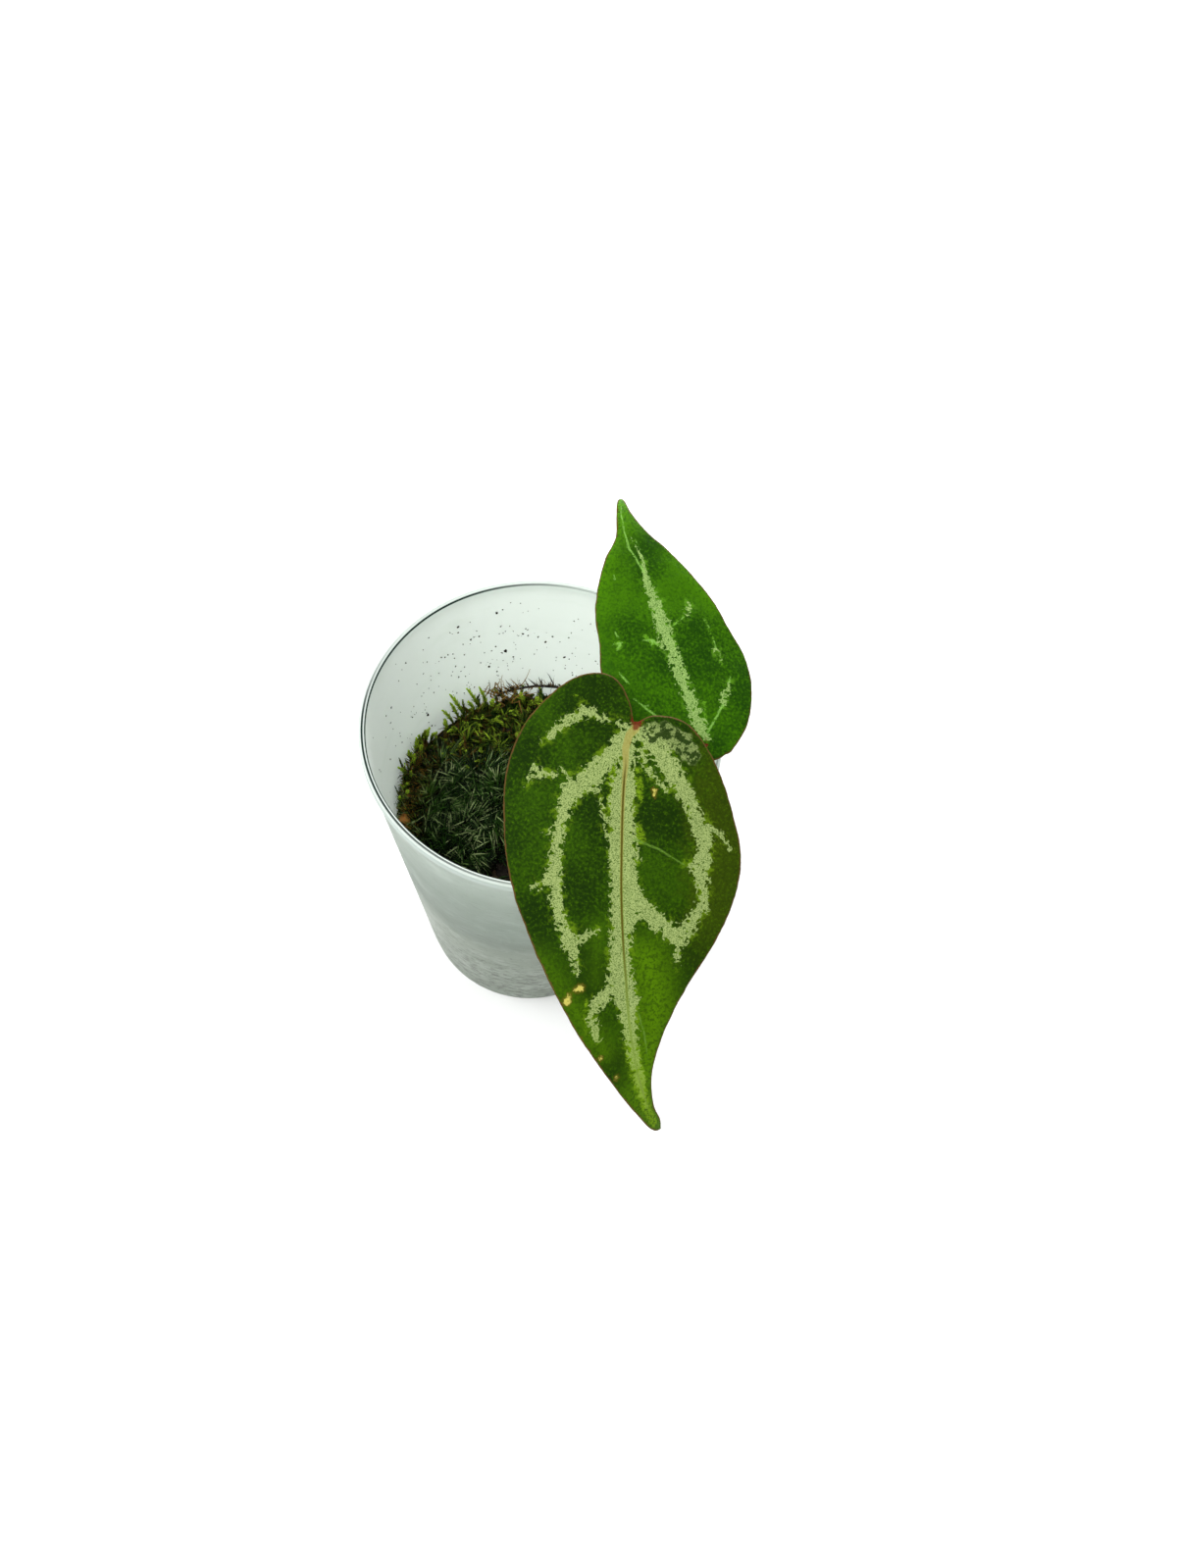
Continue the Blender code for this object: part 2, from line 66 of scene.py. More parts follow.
def srgb(red, green, blue):
    """A colour as it is seen, 0 to 255 a channel, turned into the linear one that the shaders take."""
    seen = np.array((red, green, blue)) / 255
    linear = np.where(seen > 0.04045, ((seen + 0.055) / 1.055) ** 2.4, seen / 12.92)
    return (*linear.tolist(), 1.0)


class Shade:
    """A value, colour or place in a material. Sums on it add Math nodes; node() adds any other node."""

    def __init__(self, tree, socket=None):
        self.tree = tree
        self.socket = socket

    def feed(self, node, sockets):
        """Gives a node's sockets their values, which are constants or come from other nodes."""
        for name, value in sockets.items():
            if isinstance(value, Shade):
                self.tree.links.new(value.socket, node.inputs[name])
            else:
                node.inputs[name].default_value = value

    def node(self, kind, sockets, gives=0, **settings):
        made = self.tree.nodes.new("ShaderNode" + kind)
        for name, value in settings.items():
            setattr(made, name, value)
        self.feed(made, sockets)
        return Shade(self.tree, made.outputs[gives])

    def math(self, operation, other=0.0):
        return self.node("Math", {0: self, 1: other}, operation=operation)

    __add__ = __radd__ = partialmethod(math, "ADD")
    __sub__ = partialmethod(math, "SUBTRACT")
    __mul__ = __rmul__ = partialmethod(math, "MULTIPLY")
    __abs__ = partialmethod(math, "ABSOLUTE")
    most = partialmethod(math, "MAXIMUM")

    def __rsub__(self, other):
        return self.node("Math", {0: other, 1: self}, operation="SUBTRACT")

    def ramp(self, start, end):
        """0 at start, 1 at end, and smooth between them; start may be the larger."""
        ends = {"Value": self, "From Min": start, "From Max": end}
        return self.node("MapRange", ends, interpolation_type="SMOOTHSTEP")

    def tint(self, low, high):
        """The colour low where the value is 0 and high where it is 1."""
        return self.node("Mix", {0: self, 6: low, 7: high}, 2, data_type="RGBA")

    def cloud(self, scale, detail, roughness=0.5, swirl=0.0):
        """Soft noise about 0.5 at this place."""
        look = {"Scale": scale, "Detail": detail, "Roughness": roughness, "Distortion": swirl}
        return self.node("TexNoise", {"Vector": self, **look})

    def cells(self, scale, gives=0):
        """Cells at this place: 0 gives the distance to a cell's middle, 1 a colour for each cell."""
        return self.node("TexVoronoi", {"Vector": self, "Scale": scale}, gives)

    def stretched(self, x, y, z):
        return self.node("VectorMath", {0: self, 1: (x, y, z)}, operation="MULTIPLY")

    def axes(self):
        """This place's x, y and z."""
        split = self.node("SeparateXYZ", {0: self}).socket.node
        return [Shade(self.tree, socket) for socket in split.outputs]

    def mark(self, name):
        """The value that the mesh holds at each point under this name."""
        return self.node("Attribute", {}, 2, attribute_name=name)

    def bump(self, strength, distance):
        return self.node("Bump", {"Height": self, "Strength": strength, "Distance": distance * MM})


def layered(colour, layers):
    """The colour with each (share, colour) laid over it in turn."""
    for share, over in layers:
        colour = share.tint(colour, over)
    return colour


def make_finish(recipe, through=None):
    """A material. Its recipe takes the place on the piece in millimetres and returns the shader's values.
    through is (share, colour) of the light that passes the piece; a recipe may return its own share."""
    made = bpy.data.materials.new(recipe.__name__)
    made.use_nodes = True
    nodes = made.node_tree.nodes
    shader = nodes["Principled BSDF"]
    start = Shade(made.node_tree)
    metres = start.node("TexCoord", {}, 3)
    values = recipe(start.node("VectorMath", {0: metres, "Scale": 1 / MM}, operation="SCALE"))
    if through:
        passed = start.node("BsdfTranslucent", {"Color": through[1]})
        share = values.pop("share through", through[0])
        opaque = Shade(made.node_tree, shader.outputs[0])
        mixed = start.node("MixShader", {0: share, 1: opaque, 2: passed})
        start.feed(nodes["Material Output"], {"Surface": mixed})
    start.feed(shader, values)
    return made


def arc(centre, radius, start, end, steps):
    """Places on an arc of a profile, its angles in degrees."""
    angles = np.radians(np.linspace(start, end, steps + 1))
    return [(centre[0] + radius * math.cos(a), centre[1] + radius * math.sin(a)) for a in angles]


def turned(profile, turns, centre=(0, 0)):
    """Rings of points round an upright axis, one for each (radius, height) of the profile."""
    angles = np.linspace(0, math.tau, turns, endpoint=False)
    round_it = np.stack([np.cos(angles), np.sin(angles)], axis=1)
    rings = []
    for radius, height in profile:
        ring = np.array(centre) + round_it * radius
        rings.append(np.column_stack([ring, np.full(turns, height)]))
    return np.array(rings)


def skin_over(rings):
    """Points and faces of a closed skin over rings of points, flat across the first and the last."""
    rings = np.asarray(rings, float)
    count = rings.shape[1]
    here = np.arange(count)
    after = np.roll(here, -1)
    faces = []
    for ring in range(len(rings) - 1):
        low, high = ring * count, (ring + 1) * count
        faces += np.stack([low + here, low + after, high + after, high + here], axis=1).tolist()
    faces.append(here[::-1].tolist())
    faces.append((here + (len(rings) - 1) * count).tolist())
    return rings.reshape(-1, 3), faces


def marked(shape, **values):
    """A group, for add_piece, of a (points, faces) shape that holds the same values at all its points."""
    points, faces = shape
    return points, faces, {mark: np.full(len(points), value) for mark, value in values.items()}


def add_piece(name, groups, finish, stands_for=()):
    """One piece made of groups, each (points, faces, values that its points hold by name)."""
    points, faces, marks, start = [], [], {}, 0
    for group_points, group_faces, group_marks in groups:
        points.append(np.reshape(group_points, (-1, 3)))
        faces += [[start + corner for corner in face] for face in group_faces]
        for mark, values in group_marks.items():
            marks.setdefault(mark, []).append((start, np.ravel(values)))
        start += len(points[-1])
    mesh = bpy.data.meshes.new(name)
    mesh.from_pydata((np.concatenate(points) * MM).tolist(), [], faces)
    for mark, parts in marks.items():
        held = np.zeros(start)
        for first, values in parts:
            held[first:first + len(values)] = values
        mesh.attributes.new(mark, "FLOAT", "POINT").data.foreach_set("value", held)
    mesh.shade_smooth()
    mesh.materials.append(finish)
    piece = bpy.data.objects.new(name, mesh)
    bpy.context.scene.collection.objects.link(piece)
    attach(piece, "root")
    if stands_for:
        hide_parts(*stands_for)
    return piece


def wall_radius(height):
    """Outside radius of the tumbler's tapered wall."""
    top = RIM_RADIUS - LIP_OVERHANG
    return BASE_RADIUS + (top - BASE_RADIUS) * height / (CUP_HEIGHT - LIP_DEPTH)


def bore_radius(height):
    return wall_radius(height) - WALL


def tumbler_profile():
    under_lip = CUP_HEIGHT - LIP_DEPTH
    roll = LIP_WIDTH / 2
    corner = BASE_EDGE + WALL
    low = BASE_RADIUS - BASE_EDGE
    profile = [(0.5, FOOT_RECESS), (low - FOOT_RING - 0.6, FOOT_RECESS)]
    profile += [(low - FOOT_RING, FOOT_RECESS * 0.5), (low - FOOT_RING + 0.4, 0)]
    profile += arc((low, BASE_EDGE), BASE_EDGE, -90, 0, 8)
    profile += [(wall_radius(height), height) for height in np.linspace(6, under_lip - 0.8, 22)]
    profile += [(wall_radius(under_lip) + 0.12, under_lip - 0.2), (RIM_RADIUS - 0.2, under_lip + 0.15)]
    profile += arc((RIM_RADIUS - roll, under_lip + 1.0), roll, -20, 0, 2)
    profile += arc((RIM_RADIUS - roll, CUP_HEIGHT - roll), roll, 0, 82, 9)
    profile += [(RIM_RADIUS - roll, CUP_HEIGHT - LIP_GROOVE)]
    profile += arc((RIM_RADIUS - roll, CUP_HEIGHT - roll), roll, 98, 160, 7)
    profile += [(bore_radius(under_lip), under_lip + 0.6), (bore_radius(under_lip), under_lip - 0.7)]
    profile += [(bore_radius(height), height) for height in np.linspace(under_lip - 3, 8, 22)]
    profile += arc((bore_radius(FLOOR) - corner, FLOOR + corner), corner, 0, -90, 6)
    return profile + [(0.5, FLOOR)]


# The plastic's own colour inside; the outside colours are darker copies of it, painted shade
MILK_INSIDE = srgb(240, 244, 240)
MILK_OUTSIDE_SHADED = srgb(100, 116, 102)
MILK_LOW_SHADED = srgb(122, 134, 118)
MILK_SMEAR = srgb(196, 210, 190)
LIP_SHINE = srgb(234, 242, 237)
LIP_SHADOW = srgb(22, 44, 38)
LIP_EDGE_SHADE = srgb(140, 156, 148)
SOIL_BEHIND = srgb(64, 72, 58)


def milky_plastic(place):
    """Near white inside, and a much darker copy of the same plastic outside, which is painted shade. The
    soil behind darkens the outside further, in smears and dashes towards the base.
    """
    across, back, height = place.axes()
    out = place.node("VectorMath", {0: place.stretched(1, 1, 0)}, 1, operation="LENGTH")
    under_lip = CUP_HEIGHT - LIP_DEPTH
    inner_edge = RIM_RADIUS - LIP_WIDTH
    taper = (RIM_RADIUS - LIP_OVERHANG - BASE_RADIUS) / under_lip
    # How deep a place lies in the wall, from its outer face
    depth = height * taper + (BASE_RADIUS - out)
    flare = height.ramp(under_lip, under_lip + 0.4) * out.ramp(inner_edge + 0.1, inner_edge)
    inside = flare.most(depth.ramp(WALL * 0.35, WALL * 0.65))
    outer = 1 - inside
    smears = place.stretched(0.05, 0.05, 0.16).cloud(1.0, 4, 0.6)
    drifts = place.stretched(0.05, 0.05, 0.1).cloud(1.0, 2)
    swirls = place.stretched(0.11, 0.11, 0.20).cloud(1.0, 4, 0.62, 0.5)
    blots = place.stretched(0.36, 0.36, 0.8).cloud(1.0, 4, 0.64, 0.3)
    waves = abs(place.stretched(0.07, 0.07, 0.26).cloud(1.0, 2, 0.5, 0.7) - 0.5)
    low = (height + drifts * 30).ramp(80, 30)
    level = height + (drifts - 0.5) * 22
    # Painted shade: the outer face gets a darker copy of the plastic, a little lighter low down
    shaded_outside = level.ramp(46, 74).tint(MILK_LOW_SHADED, MILK_OUTSIDE_SHADED)
    dashes = (blots + low * 0.065).ramp(0.58, 0.62) * (low * 0.85 + 0.15) * outer
    dots = place.cells(0.16).ramp(0.085, 0.05) * place.cells(0.16, 1).ramp(0.5, 0.6) * outer
    lip = height.ramp(CUP_HEIGHT - 2.4, CUP_HEIGHT - 1.8) * out.ramp(inner_edge - 0.3, inner_edge + 0.1)
    # Painted shade: a grey band round the lip's outer edge
    edge = out.ramp(RIM_RADIUS - 0.3, RIM_RADIUS - 0.08)
    # Two lines of painted shade run along the lip, strongest on the left: in its groove, and at the edge of
    # the bore
    groove_shade = abs(out - (RIM_RADIUS - LIP_WIDTH / 2)).ramp(0.36, 0.18) * lip
    groove_shade = groove_shade * (across.ramp(20, -40) * 0.5 + 0.5) * (back.ramp(26, -8) * 0.88 + 0.12)
    line = abs(out - (inner_edge + 0.12)).ramp(0.34, 0.14) * height.ramp(CUP_HEIGHT - 0.8, CUP_HEIGHT - 0.6)
    lip_shade_lines = groove_shade.most(line * (across.ramp(25, -28) * 0.7 + 0.3) * lip)
    wall = layered(inside.tint(shaded_outside, MILK_INSIDE), (
        (smears.ramp(0.5, 0.85) * inside * 0.35, MILK_SMEAR),
        (swirls.ramp(0.48, 0.72) * outer * 0.13, LIP_SHINE),
        (swirls.ramp(0.50, 0.34) * low * outer * 0.35, SOIL_BEHIND),
        (waves.ramp(0.03, 0.0) * height.ramp(100, 80) * outer * 0.14, LIP_SHINE),
        (dashes * 0.75, SOIL_BEHIND),
        (dots * 0.85, LIP_SHADOW),
        (lip, LIP_SHINE),
        (edge * lip * 0.7, LIP_EDGE_SHADE),
        # The painted shade along the lip
        (lip_shade_lines, LIP_SHADOW),
    ))
    filled = (level + (swirls - 0.5) * 14).ramp(46, 74)
    passed = (filled * 0.30 + 0.16) * (1 - lip_shade_lines) * (1 - edge * lip * 0.6) * (1 - dashes * 0.8)
    ripple = place.stretched(0.25, 0.25, 0.05).cloud(1.0, 2)
    return {
        "Base Color": wall, "Roughness": smears * 0.25 + 0.22, "Normal": ripple.bump(0.12, 0.3),
        "share through": passed, "IOR": 1.49, "Specular IOR Level": 0.18,
    }


plastic = make_finish(milky_plastic, (0.46, srgb(238, 243, 239)))
tumbler = marked(skin_over(turned(tumbler_profile(), CUP_TURNS)))
add_piece("tumbler", [tumbler], plastic, ["cup"])


# The soil: a dark, fibrous peat mix that fills the tumbler to well under its rim. It is poured round
# the rootstock, so it keeps a hole of that shape, and its top is loose crumbs, chips and fibres.
SOIL_LEVEL = 66
CROWN = np.array((12, -2))
HOLE = [(1, 14), (15, 14), (15, 26), (5.1, 58), (5.1, 65.4)]
SOIL_GAP = 0.3
SOIL_ROUGHNESS = 0.9
SOIL_TURNS = 220
SOIL_STEPS = 58
# Chips and crumbs: how many, least and greatest size, how finely each is cut, how far from the wall
LITTER = ((420, 0.7, 1.7, 2, 2.2), (1700, 0.25, 0.75, 1, 1.2))
FIBRE_COUNT = 90
FIBRE_LENGTH = (2.5, 7)
FIBRE_RADIUS = 0.14


def soil_height(x, y):
    """The soil's top, gently uneven."""
    return SOIL_LEVEL + 0.35 * (np.sin(x / 9 + 1.0) + np.cos(y / 8 - 0.6))


def soil_rings():
    """Rings from the foot of the hole up its side, out over the top and down the wall to the floor."""
    rings = list(turned(HOLE, SOIL_TURNS, CROWN))
    mouth = rings[-1][:, :2]
    way = (mouth - CROWN) / np.linalg.norm(mouth - CROWN, axis=1)[:, None]
    rim = bore_radius(SOIL_LEVEL) - SOIL_GAP
    inward = way @ CROWN
    reach = -inward + np.sqrt(inward ** 2 - CROWN @ CROWN + rim ** 2)
    edge = CROWN + way * reach[:, None]
    for share in np.linspace(0.01, 1, SOIL_STEPS):
        ring = mouth + (edge - mouth) * share
        height = soil_height(ring[:, 0], ring[:, 1])
        calm = min(1, 6 * share, 6 * (1 - share) + 0.25)
        rough = [noise.fractal(Vector((x, y, 0)) * 0.55, 0.7, 2.1, 4) for x, y in ring]
        rings.append(np.column_stack([ring, height + calm * SOIL_ROUGHNESS * np.array(rough)]))
    around = edge / rim
    corner = BASE_EDGE + WALL
    low = bore_radius(FLOOR) - corner
    side = [(bore_radius(height) - SOIL_GAP, height) for height in (64, 50, 36, 22, 10)]
    side += arc((low - SOIL_GAP, FLOOR + SOIL_GAP + corner), corner, 0, -90, 4)
    side.append((1, FLOOR + SOIL_GAP))
    for radius, height in side:
        rings.append(np.column_stack([around * radius, np.full(SOIL_TURNS, height)]))
    return np.array(rings)


def ball(level):
    """Points and faces of a round ball of radius 1."""
    work = bmesh.new()
    bmesh.ops.create_icosphere(work, subdivisions=level, radius=1)
    points = np.array([point.co[:] for point in work.verts])
    faces = np.array([[corner.index for corner in face.verts] for face in work.faces])
    work.free()
    return points, faces


def crumbs(places, sizes, draw, level, flatness):
    """Rough lumps: each is a ball knocked out of shape, squashed and turned any way up."""
    round_points, round_faces = ball(level)
    count = len(places)
    knocks = draw.uniform(0.72, 1.2, (count, len(round_points), 1))
    squash = draw.uniform(flatness, 1.25, (count, 1, 3))
    turns = np.linalg.qr(draw.normal(size=(count, 3, 3)))[0]
    points = (round_points * knocks * squash * np.reshape(sizes, (-1, 1, 1))) @ turns
    points += places[:, None]
    faces = round_faces + (np.arange(count) * len(round_points))[:, None, None]
    hues = np.repeat(draw.uniform(0, 1, count), len(round_points))
    return points, faces.reshape(-1, 3).tolist(), {"hue": hues}


def unit(vectors):
    return vectors / np.linalg.norm(vectors, axis=-1, keepdims=True)


def stalk(course, radii, sides, face=(1, 0, 0)):
    """A tube of the given radii along a course of points; face is any way that the course never takes."""
    course = np.asarray(course, float)
    ahead = unit(np.gradient(course, axis=0))
    left = unit(np.cross(ahead, face))
    up = np.cross(left, ahead)
    angles = np.linspace(0, math.tau, sides, endpoint=False)
    across = left[:, None] * np.cos(angles)[:, None] + up[:, None] * np.sin(angles)[:, None]
    return skin_over(course[:, None] + across * np.reshape(radii, (len(course), -1, 1)))


def soil_top_places(count, draw, margin):
    """Places on the soil's top, clear of the crown and of the wall."""
    found = []
    while len(found) < count:
        x, y = draw.uniform(-38, 38, 2)
        if math.hypot(x, y) < bore_radius(SOIL_LEVEL) - margin and math.dist((x, y), CROWN) > 5.6 + margin:
            found.append((x, y, soil_height(x, y)))
    return np.array(found)


def soil_litter():
    """Chips and crumbs that lie half sunk in the soil's top, with a few fibres over them."""
    draw = np.random.default_rng(11)
    groups = []
    for count, low, high, level, margin in LITTER:
        sizes = low + (high - low) * draw.beta(1.2, 3.2, count)
        places = soil_top_places(count, draw, margin)
        places[:, 2] += sizes * 0.35 + 0.15
        groups.append(crumbs(places, sizes, draw, level, 0.45))
    share = np.linspace(-0.5, 0.5, 7)
    for place in soil_top_places(FIBRE_COUNT, draw, 5):
        turn = draw.uniform(0, math.tau)
        length = draw.uniform(*FIBRE_LENGTH)
        bend = turn + share * draw.uniform(-1.4, 1.4)
        x = place[0] + share * length * np.cos(bend)
        y = place[1] + share * length * np.sin(bend)
        z = place[2] + 1.0 + draw.uniform(-0.2, 0.5) + 0.3 * np.sin(share * 6)
        radii = FIBRE_RADIUS * (1.15 - abs(share) * 1.6)
        groups.append(marked(stalk(np.column_stack([x, y, z]), radii, 5, (0, 0, 1)), hue=1.4))
    return groups


PEAT_DARK = srgb(24, 19, 14)
PEAT = srgb(48, 37, 27)
PEAT_CHIP = srgb(104, 78, 50)
FIBRE = srgb(150, 118, 76)


def grown(colour, grain, dull, relief, shine):
    """A natural surface whose grain dulls it, from dull[0] by up to dull[1], and stands out in relief."""
    return {
        "Base Color": colour, "Roughness": grain * dull[1] + dull[0], "Normal": grain.bump(*relief),
        "Specular IOR Level": shine,
    }


def peat(place):
    hue = place.mark("hue")
    grain = place.cloud(2.2, 4, 0.7)
    damp = (grain * 0.7 + place.cloud(0.18, 2) * 0.5 - 0.1).ramp(0.2, 0.9)
    colour = layered(damp.tint(PEAT_DARK, PEAT), (
        (hue.ramp(0.62, 1.0) * 0.3, PEAT_CHIP), (hue.ramp(1.1, 1.3), FIBRE),
    ))
    return grown(colour, grain, (0.78, 0.2), (0.8, 0.4), 0.3)


soil_finish = make_finish(peat)
soil = [marked(skin_over(soil_rings())), *soil_litter()]
add_piece("soil_mix", soil, soil_finish, ["soil"])


# The rootstock: the plant's short upright stem, with six thick roots below and two papery scale leaves
# at its crown. It grew as one piece, so it is the CAD node's own shape, refined and roughened like bark.
ROOT_VOXEL = 0.32


def refined(node, voxel, roughness, size):
    """Points and faces of a CAD node's shape, rounded and given a natural surface."""
    copy = bpy.data.objects.new(node + "_copy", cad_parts[node].data.copy())
    bpy.context.scene.collection.objects.link(copy)
    even = copy.modifiers.new("Even", "REMESH")
    even.mode = "VOXEL"
    even.voxel_size = voxel * MM
    calm = copy.modifiers.new("Calm", "SMOOTH")
    calm.factor = 0.5
    calm.iterations = 3
    graph = bpy.context.evaluated_depsgraph_get()
    mesh = bpy.data.meshes.new_from_object(copy.evaluated_get(graph))
    bpy.data.objects.remove(copy)
    points = np.array([point.co[:] for point in mesh.vertices]) / MM
    normals = np.array([point.normal[:] for point in mesh.vertices])
    faces = [list(face.vertices) for face in mesh.polygons]
    bpy.data.meshes.remove(mesh)
    rough = [noise.fractal(Vector(point) / size, 0.8, 2.0, 3) for point in points]
    return points + normals * np.reshape(rough, (-1, 1)) * roughness, faces


ROOT_PALE = srgb(196, 176, 128)
ROOT_BROWN = srgb(118, 86, 50)
CROWN_GREEN = srgb(104, 112, 52)
SHEATH_TAN = srgb(176, 142, 92)


def root_skin(place):
    height = place.axes()[2]
    grain = place.stretched(1, 1, 0.35).cloud(1.3, 4, 0.65)
    colour = layered(grain.ramp(0.3, 0.75).tint(ROOT_BROWN, ROOT_PALE), (
        (height.ramp(64, 70) * 0.8, CROWN_GREEN),
        (height.ramp(73, 77) * 0.9, SHEATH_TAN),
        (grain.ramp(0.62, 0.75) * 0.5, ROOT_BROWN),
    ))
    return grown(colour, grain, (0.5, 0.3), (0.5, 0.3), 0.35)


rootstock = marked(refined("rootstock", ROOT_VOXEL, 0.12, 1.6))
add_piece("stem_and_roots", [rootstock], make_finish(root_skin), ["rootstock"])


# The blades: two heart-shaped leaves, thin, fleshy and velvety, each grown flat and then arched along
# its midrib. Silver bands, ragged where the pale cells end, follow the veins over the deep green.
# A place on a blade is (along the midrib from the petiole, out from it).
MIDRIB_FOLD = 0.06
WAVE_HEIGHT = 0.5
WAVE_LENGTH = 23
BLADE_THICKNESS = 0.7
MARGIN_THICKNESS = 0.34
MARGIN_WIDTH = 2.2
MARGIN_RIPPLE = 0.14
SWELL = 0.28
PUCKER = 0.05
# How deep the midrib and the side veins lie, on the face and on the underside
MIDRIB_DEPTHS = (0.20, 0.55)
VEIN_DEPTHS = (0.11, 0.16)
BLADE_GRID = 0.46

LARGE_MIDRIB = ((21.4, -19.3, 150), (20.1, -44.6, 143), (26.8, -86.1, 128), (40.6, -89.6, 98))
LARGE_DROOP = 0.007
LARGE_LEFT = (
    (-1, 0.4), (-5.5, 2.2), (-9.4, 5.4), (-10.4, 10), (-7.2, 16.4), (1, 22.3), (11, 25.4), (22, 25),
    (34, 22.7), (46, 18.3), (60, 12.5), (73, 7), (84, 3.7), (92, 2.2), (95.2, 0.4),
)
LARGE_RIGHT = (
    (-1, -0.4), (-3.2, -3.6), (-3.4, -9.5), (-0.4, -14.4), (7, -19.4), (17.4, -23.8), (27.2, -25.6),
    (38, -24.4), (47, -20.3), (57, -13.6), (67, -7.5), (76.7, -3), (86, -1.1), (92.5, -0.9), (95.2, 0.4),
)
# Silver bands of the large blade, each a course of (along, out, half its width)
LARGE_SILVER = (
    ((1, 0.3, 0.9), (8.5, 0.6, 1.7), (13, 0.7, 2.5), (21, 0.2, 2.7), (33.5, -0.7, 2.8), (37.5, -1.3, 3.5),
     (41.5, -0.2, 2.4), (49, 0.5, 2.2), (53.5, 0.8, 2.7), (58, -0.1, 2.4), (62.5, -0.1, 1.7),
     (71.5, 0.3, 1), (77, 0.4, 1), (85, 0.7, 0.4)),
    ((1.5, 1, 1.7), (5.5, 3, 1.9), (9.5, 5.7, 2.1), (13, 8.4, 2.2), (15.5, 11.5, 2.1), (20.5, 12.8, 1.4),
     (26.5, 13.7, 1), (33, 13.9, 1.7), (38.5, 13.2, 1), (43.5, 11.5, 1.4), (46, 10.8, 1.3),
     (48, 10, 0.8), (51, 10, 0.4)),
    ((23.5, 13.4, 0.8), (23.7, 16, 0.3)),
    ((33.4, 13.8, 1), (34.6, 18, 0.4)),
    ((45.3, 10.8, 1), (44.6, 8.9, 0.8), (43, 4.8, 0.15)),
    ((0.6, 1.4, 0.5), (-0.4, 4, 0.3), (-0.5, 6.5, 0.45), (-1.2, 10, 1.1), (0.7, 13.5, 0.9), (2.3, 15.2, 1),
     (4.2, 17, 0.8), (6.2, 19, 0.2)),
    ((-0.9, 11.9, 0.9), (-2.7, 11.8, 0.2)),
    ((10.5, 19.7, 0.2), (12, 19.2, 0.8), (12.5, 16.5, 0.6), (12.3, 15, 0.2)),
    ((12.4, 19.5, 0.4), (14.6, 21, 0.15)),
    ((11.2, 13.8, 0.2), (13.4, 11.4, 0.8)),
    ((13.5, 6.9, 0.6), (16.4, 5.1, 0.3), (21.4, 3.3, 0.5), (23.8, 2.9, 0.2)),
    ((0.7, -0.8, 1), (3, -3.7, 1.9), (5.5, -7, 2.1), (11, -11, 1.9), (13.5, -12.8, 1.7), (16.5, -14.5, 1.3),
     (22, -17, 2), (25.3, -17.7, 1.3), (30.5, -16.8, 1.9), (36, -17.4, 1.1), (40, -18.4, 0.4)),
    ((20.2, -17.8, 0.9), (21.5, -20.7, 0.3), (25, -23, 0.15)),
    ((30, -16, 1.3), (29, -13.8, 0.2)),
    ((5, -1.9, 0.85), (9.5, -4.6, 0.55), (11.5, -6.5, 0.5), (13.4, -9, 0.2)),
    ((25.6, -2.5, 0.4), (29.3, -3.5, 0.4)),
    ((36, -2.5, 1.6), (39.7, -5.6, 1.7), (42.8, -8.9, 1.75), (45.8, -12.1, 1.9)),
    ((45.4, -12.2, 1.7), (44, -13.9, 1.7), (40.7, -16.2, 1.1), (36.6, -17.7, 0.9)),
    ((46.5, -11.9, 1.1), (48.2, -11.6, 0.65), (52, -11.4, 0.2)),
    ((55, 2.2, 1.25), (57.3, 5.8, 1.2), (60, 7.8, 0.85), (62.5, 7.4, 1), (65.2, 7.1, 0.4)),
)
# Where the silver is broken up, and where it is only a fresh green lightness
LARGE_MOTTLED = (((0.5, -3.5, 1.8), (0.8, -7, 2.8), (1.8, -10.5, 2.4), (4.5, -13.5, 1.4)),)
LARGE_FRESH = (
    ((8.5, 3.3, 1), (13.7, 2.7, 1.2), (18.5, 2.9, 0.8)),
    ((9.3, -2, 0.8), (16, -3.1, 0.6)),
    ((21, -3.2, 0.5), (24, -3.7, 1.2)),
    ((57.3, 8.5, 0.4), (61.8, 9.1, 0.2)),
    ((68, 0.3, 1.6), (80, 0.6, 1.5), (91, 0.9, 1)),
    ((-4.2, 14.3, 0.2), (-4.6, 13.4, 0.2)),
)
# Crisp thin lines of light green
LARGE_LINES = (
    ((24.3, -2.4, 0.25), (26, -7.5, 0.2), (29.3, -13.2, 0.12)),
    ((60.8, -2.2, 0.14), (66.7, -2.9, 0.18), (73, -2.6, 0.08)),
)
LARGE_BLEMISHES = (
    ((54.3, 9.2, 0.7), (54.6, 10.4, 0.4)),
    ((55.4, 11.6, 0.3), (56.6, 12.3, 0.75)),
    ((69, 7.3, 0.35), (69.3, 7.4, 0.3)),
    ((74, 5, 0.4), (74.3, 5.2, 0.3)),
    ((64.3, 10.5, 0.2), (64.5, 10.6, 0.2)),
    ((13.3, -6, 0.4), (14.6, -6.2, 0.2)),
)
LARGE_RIB = (
    (0.4, -0.3, 0.9), (2, 0.8, 0.8), (5, 1.1, 0.75), (8.6, 0.6, 0.6), (13, 0.5, 0.45), (25, 0, 0.38),
    (54, -0.4, 0.32), (86, 0.6, 0.15),
)
# Painted light: the parts of the large blade that light falls on most, drawn in its bright green; a half
# width below 0 makes one weaker
LARGE_PAINTED_LIGHT = (
    ((50, -5, 1), (60, -6.5, 1), (78, -1.5, 1)), ((47, 17, -4), (60, 10, -2), (68, 6, -2)),
    ((80, 1, 1), (92, 0.8, 1)), ((43, 5, -4), (53, 6, -4)),
)

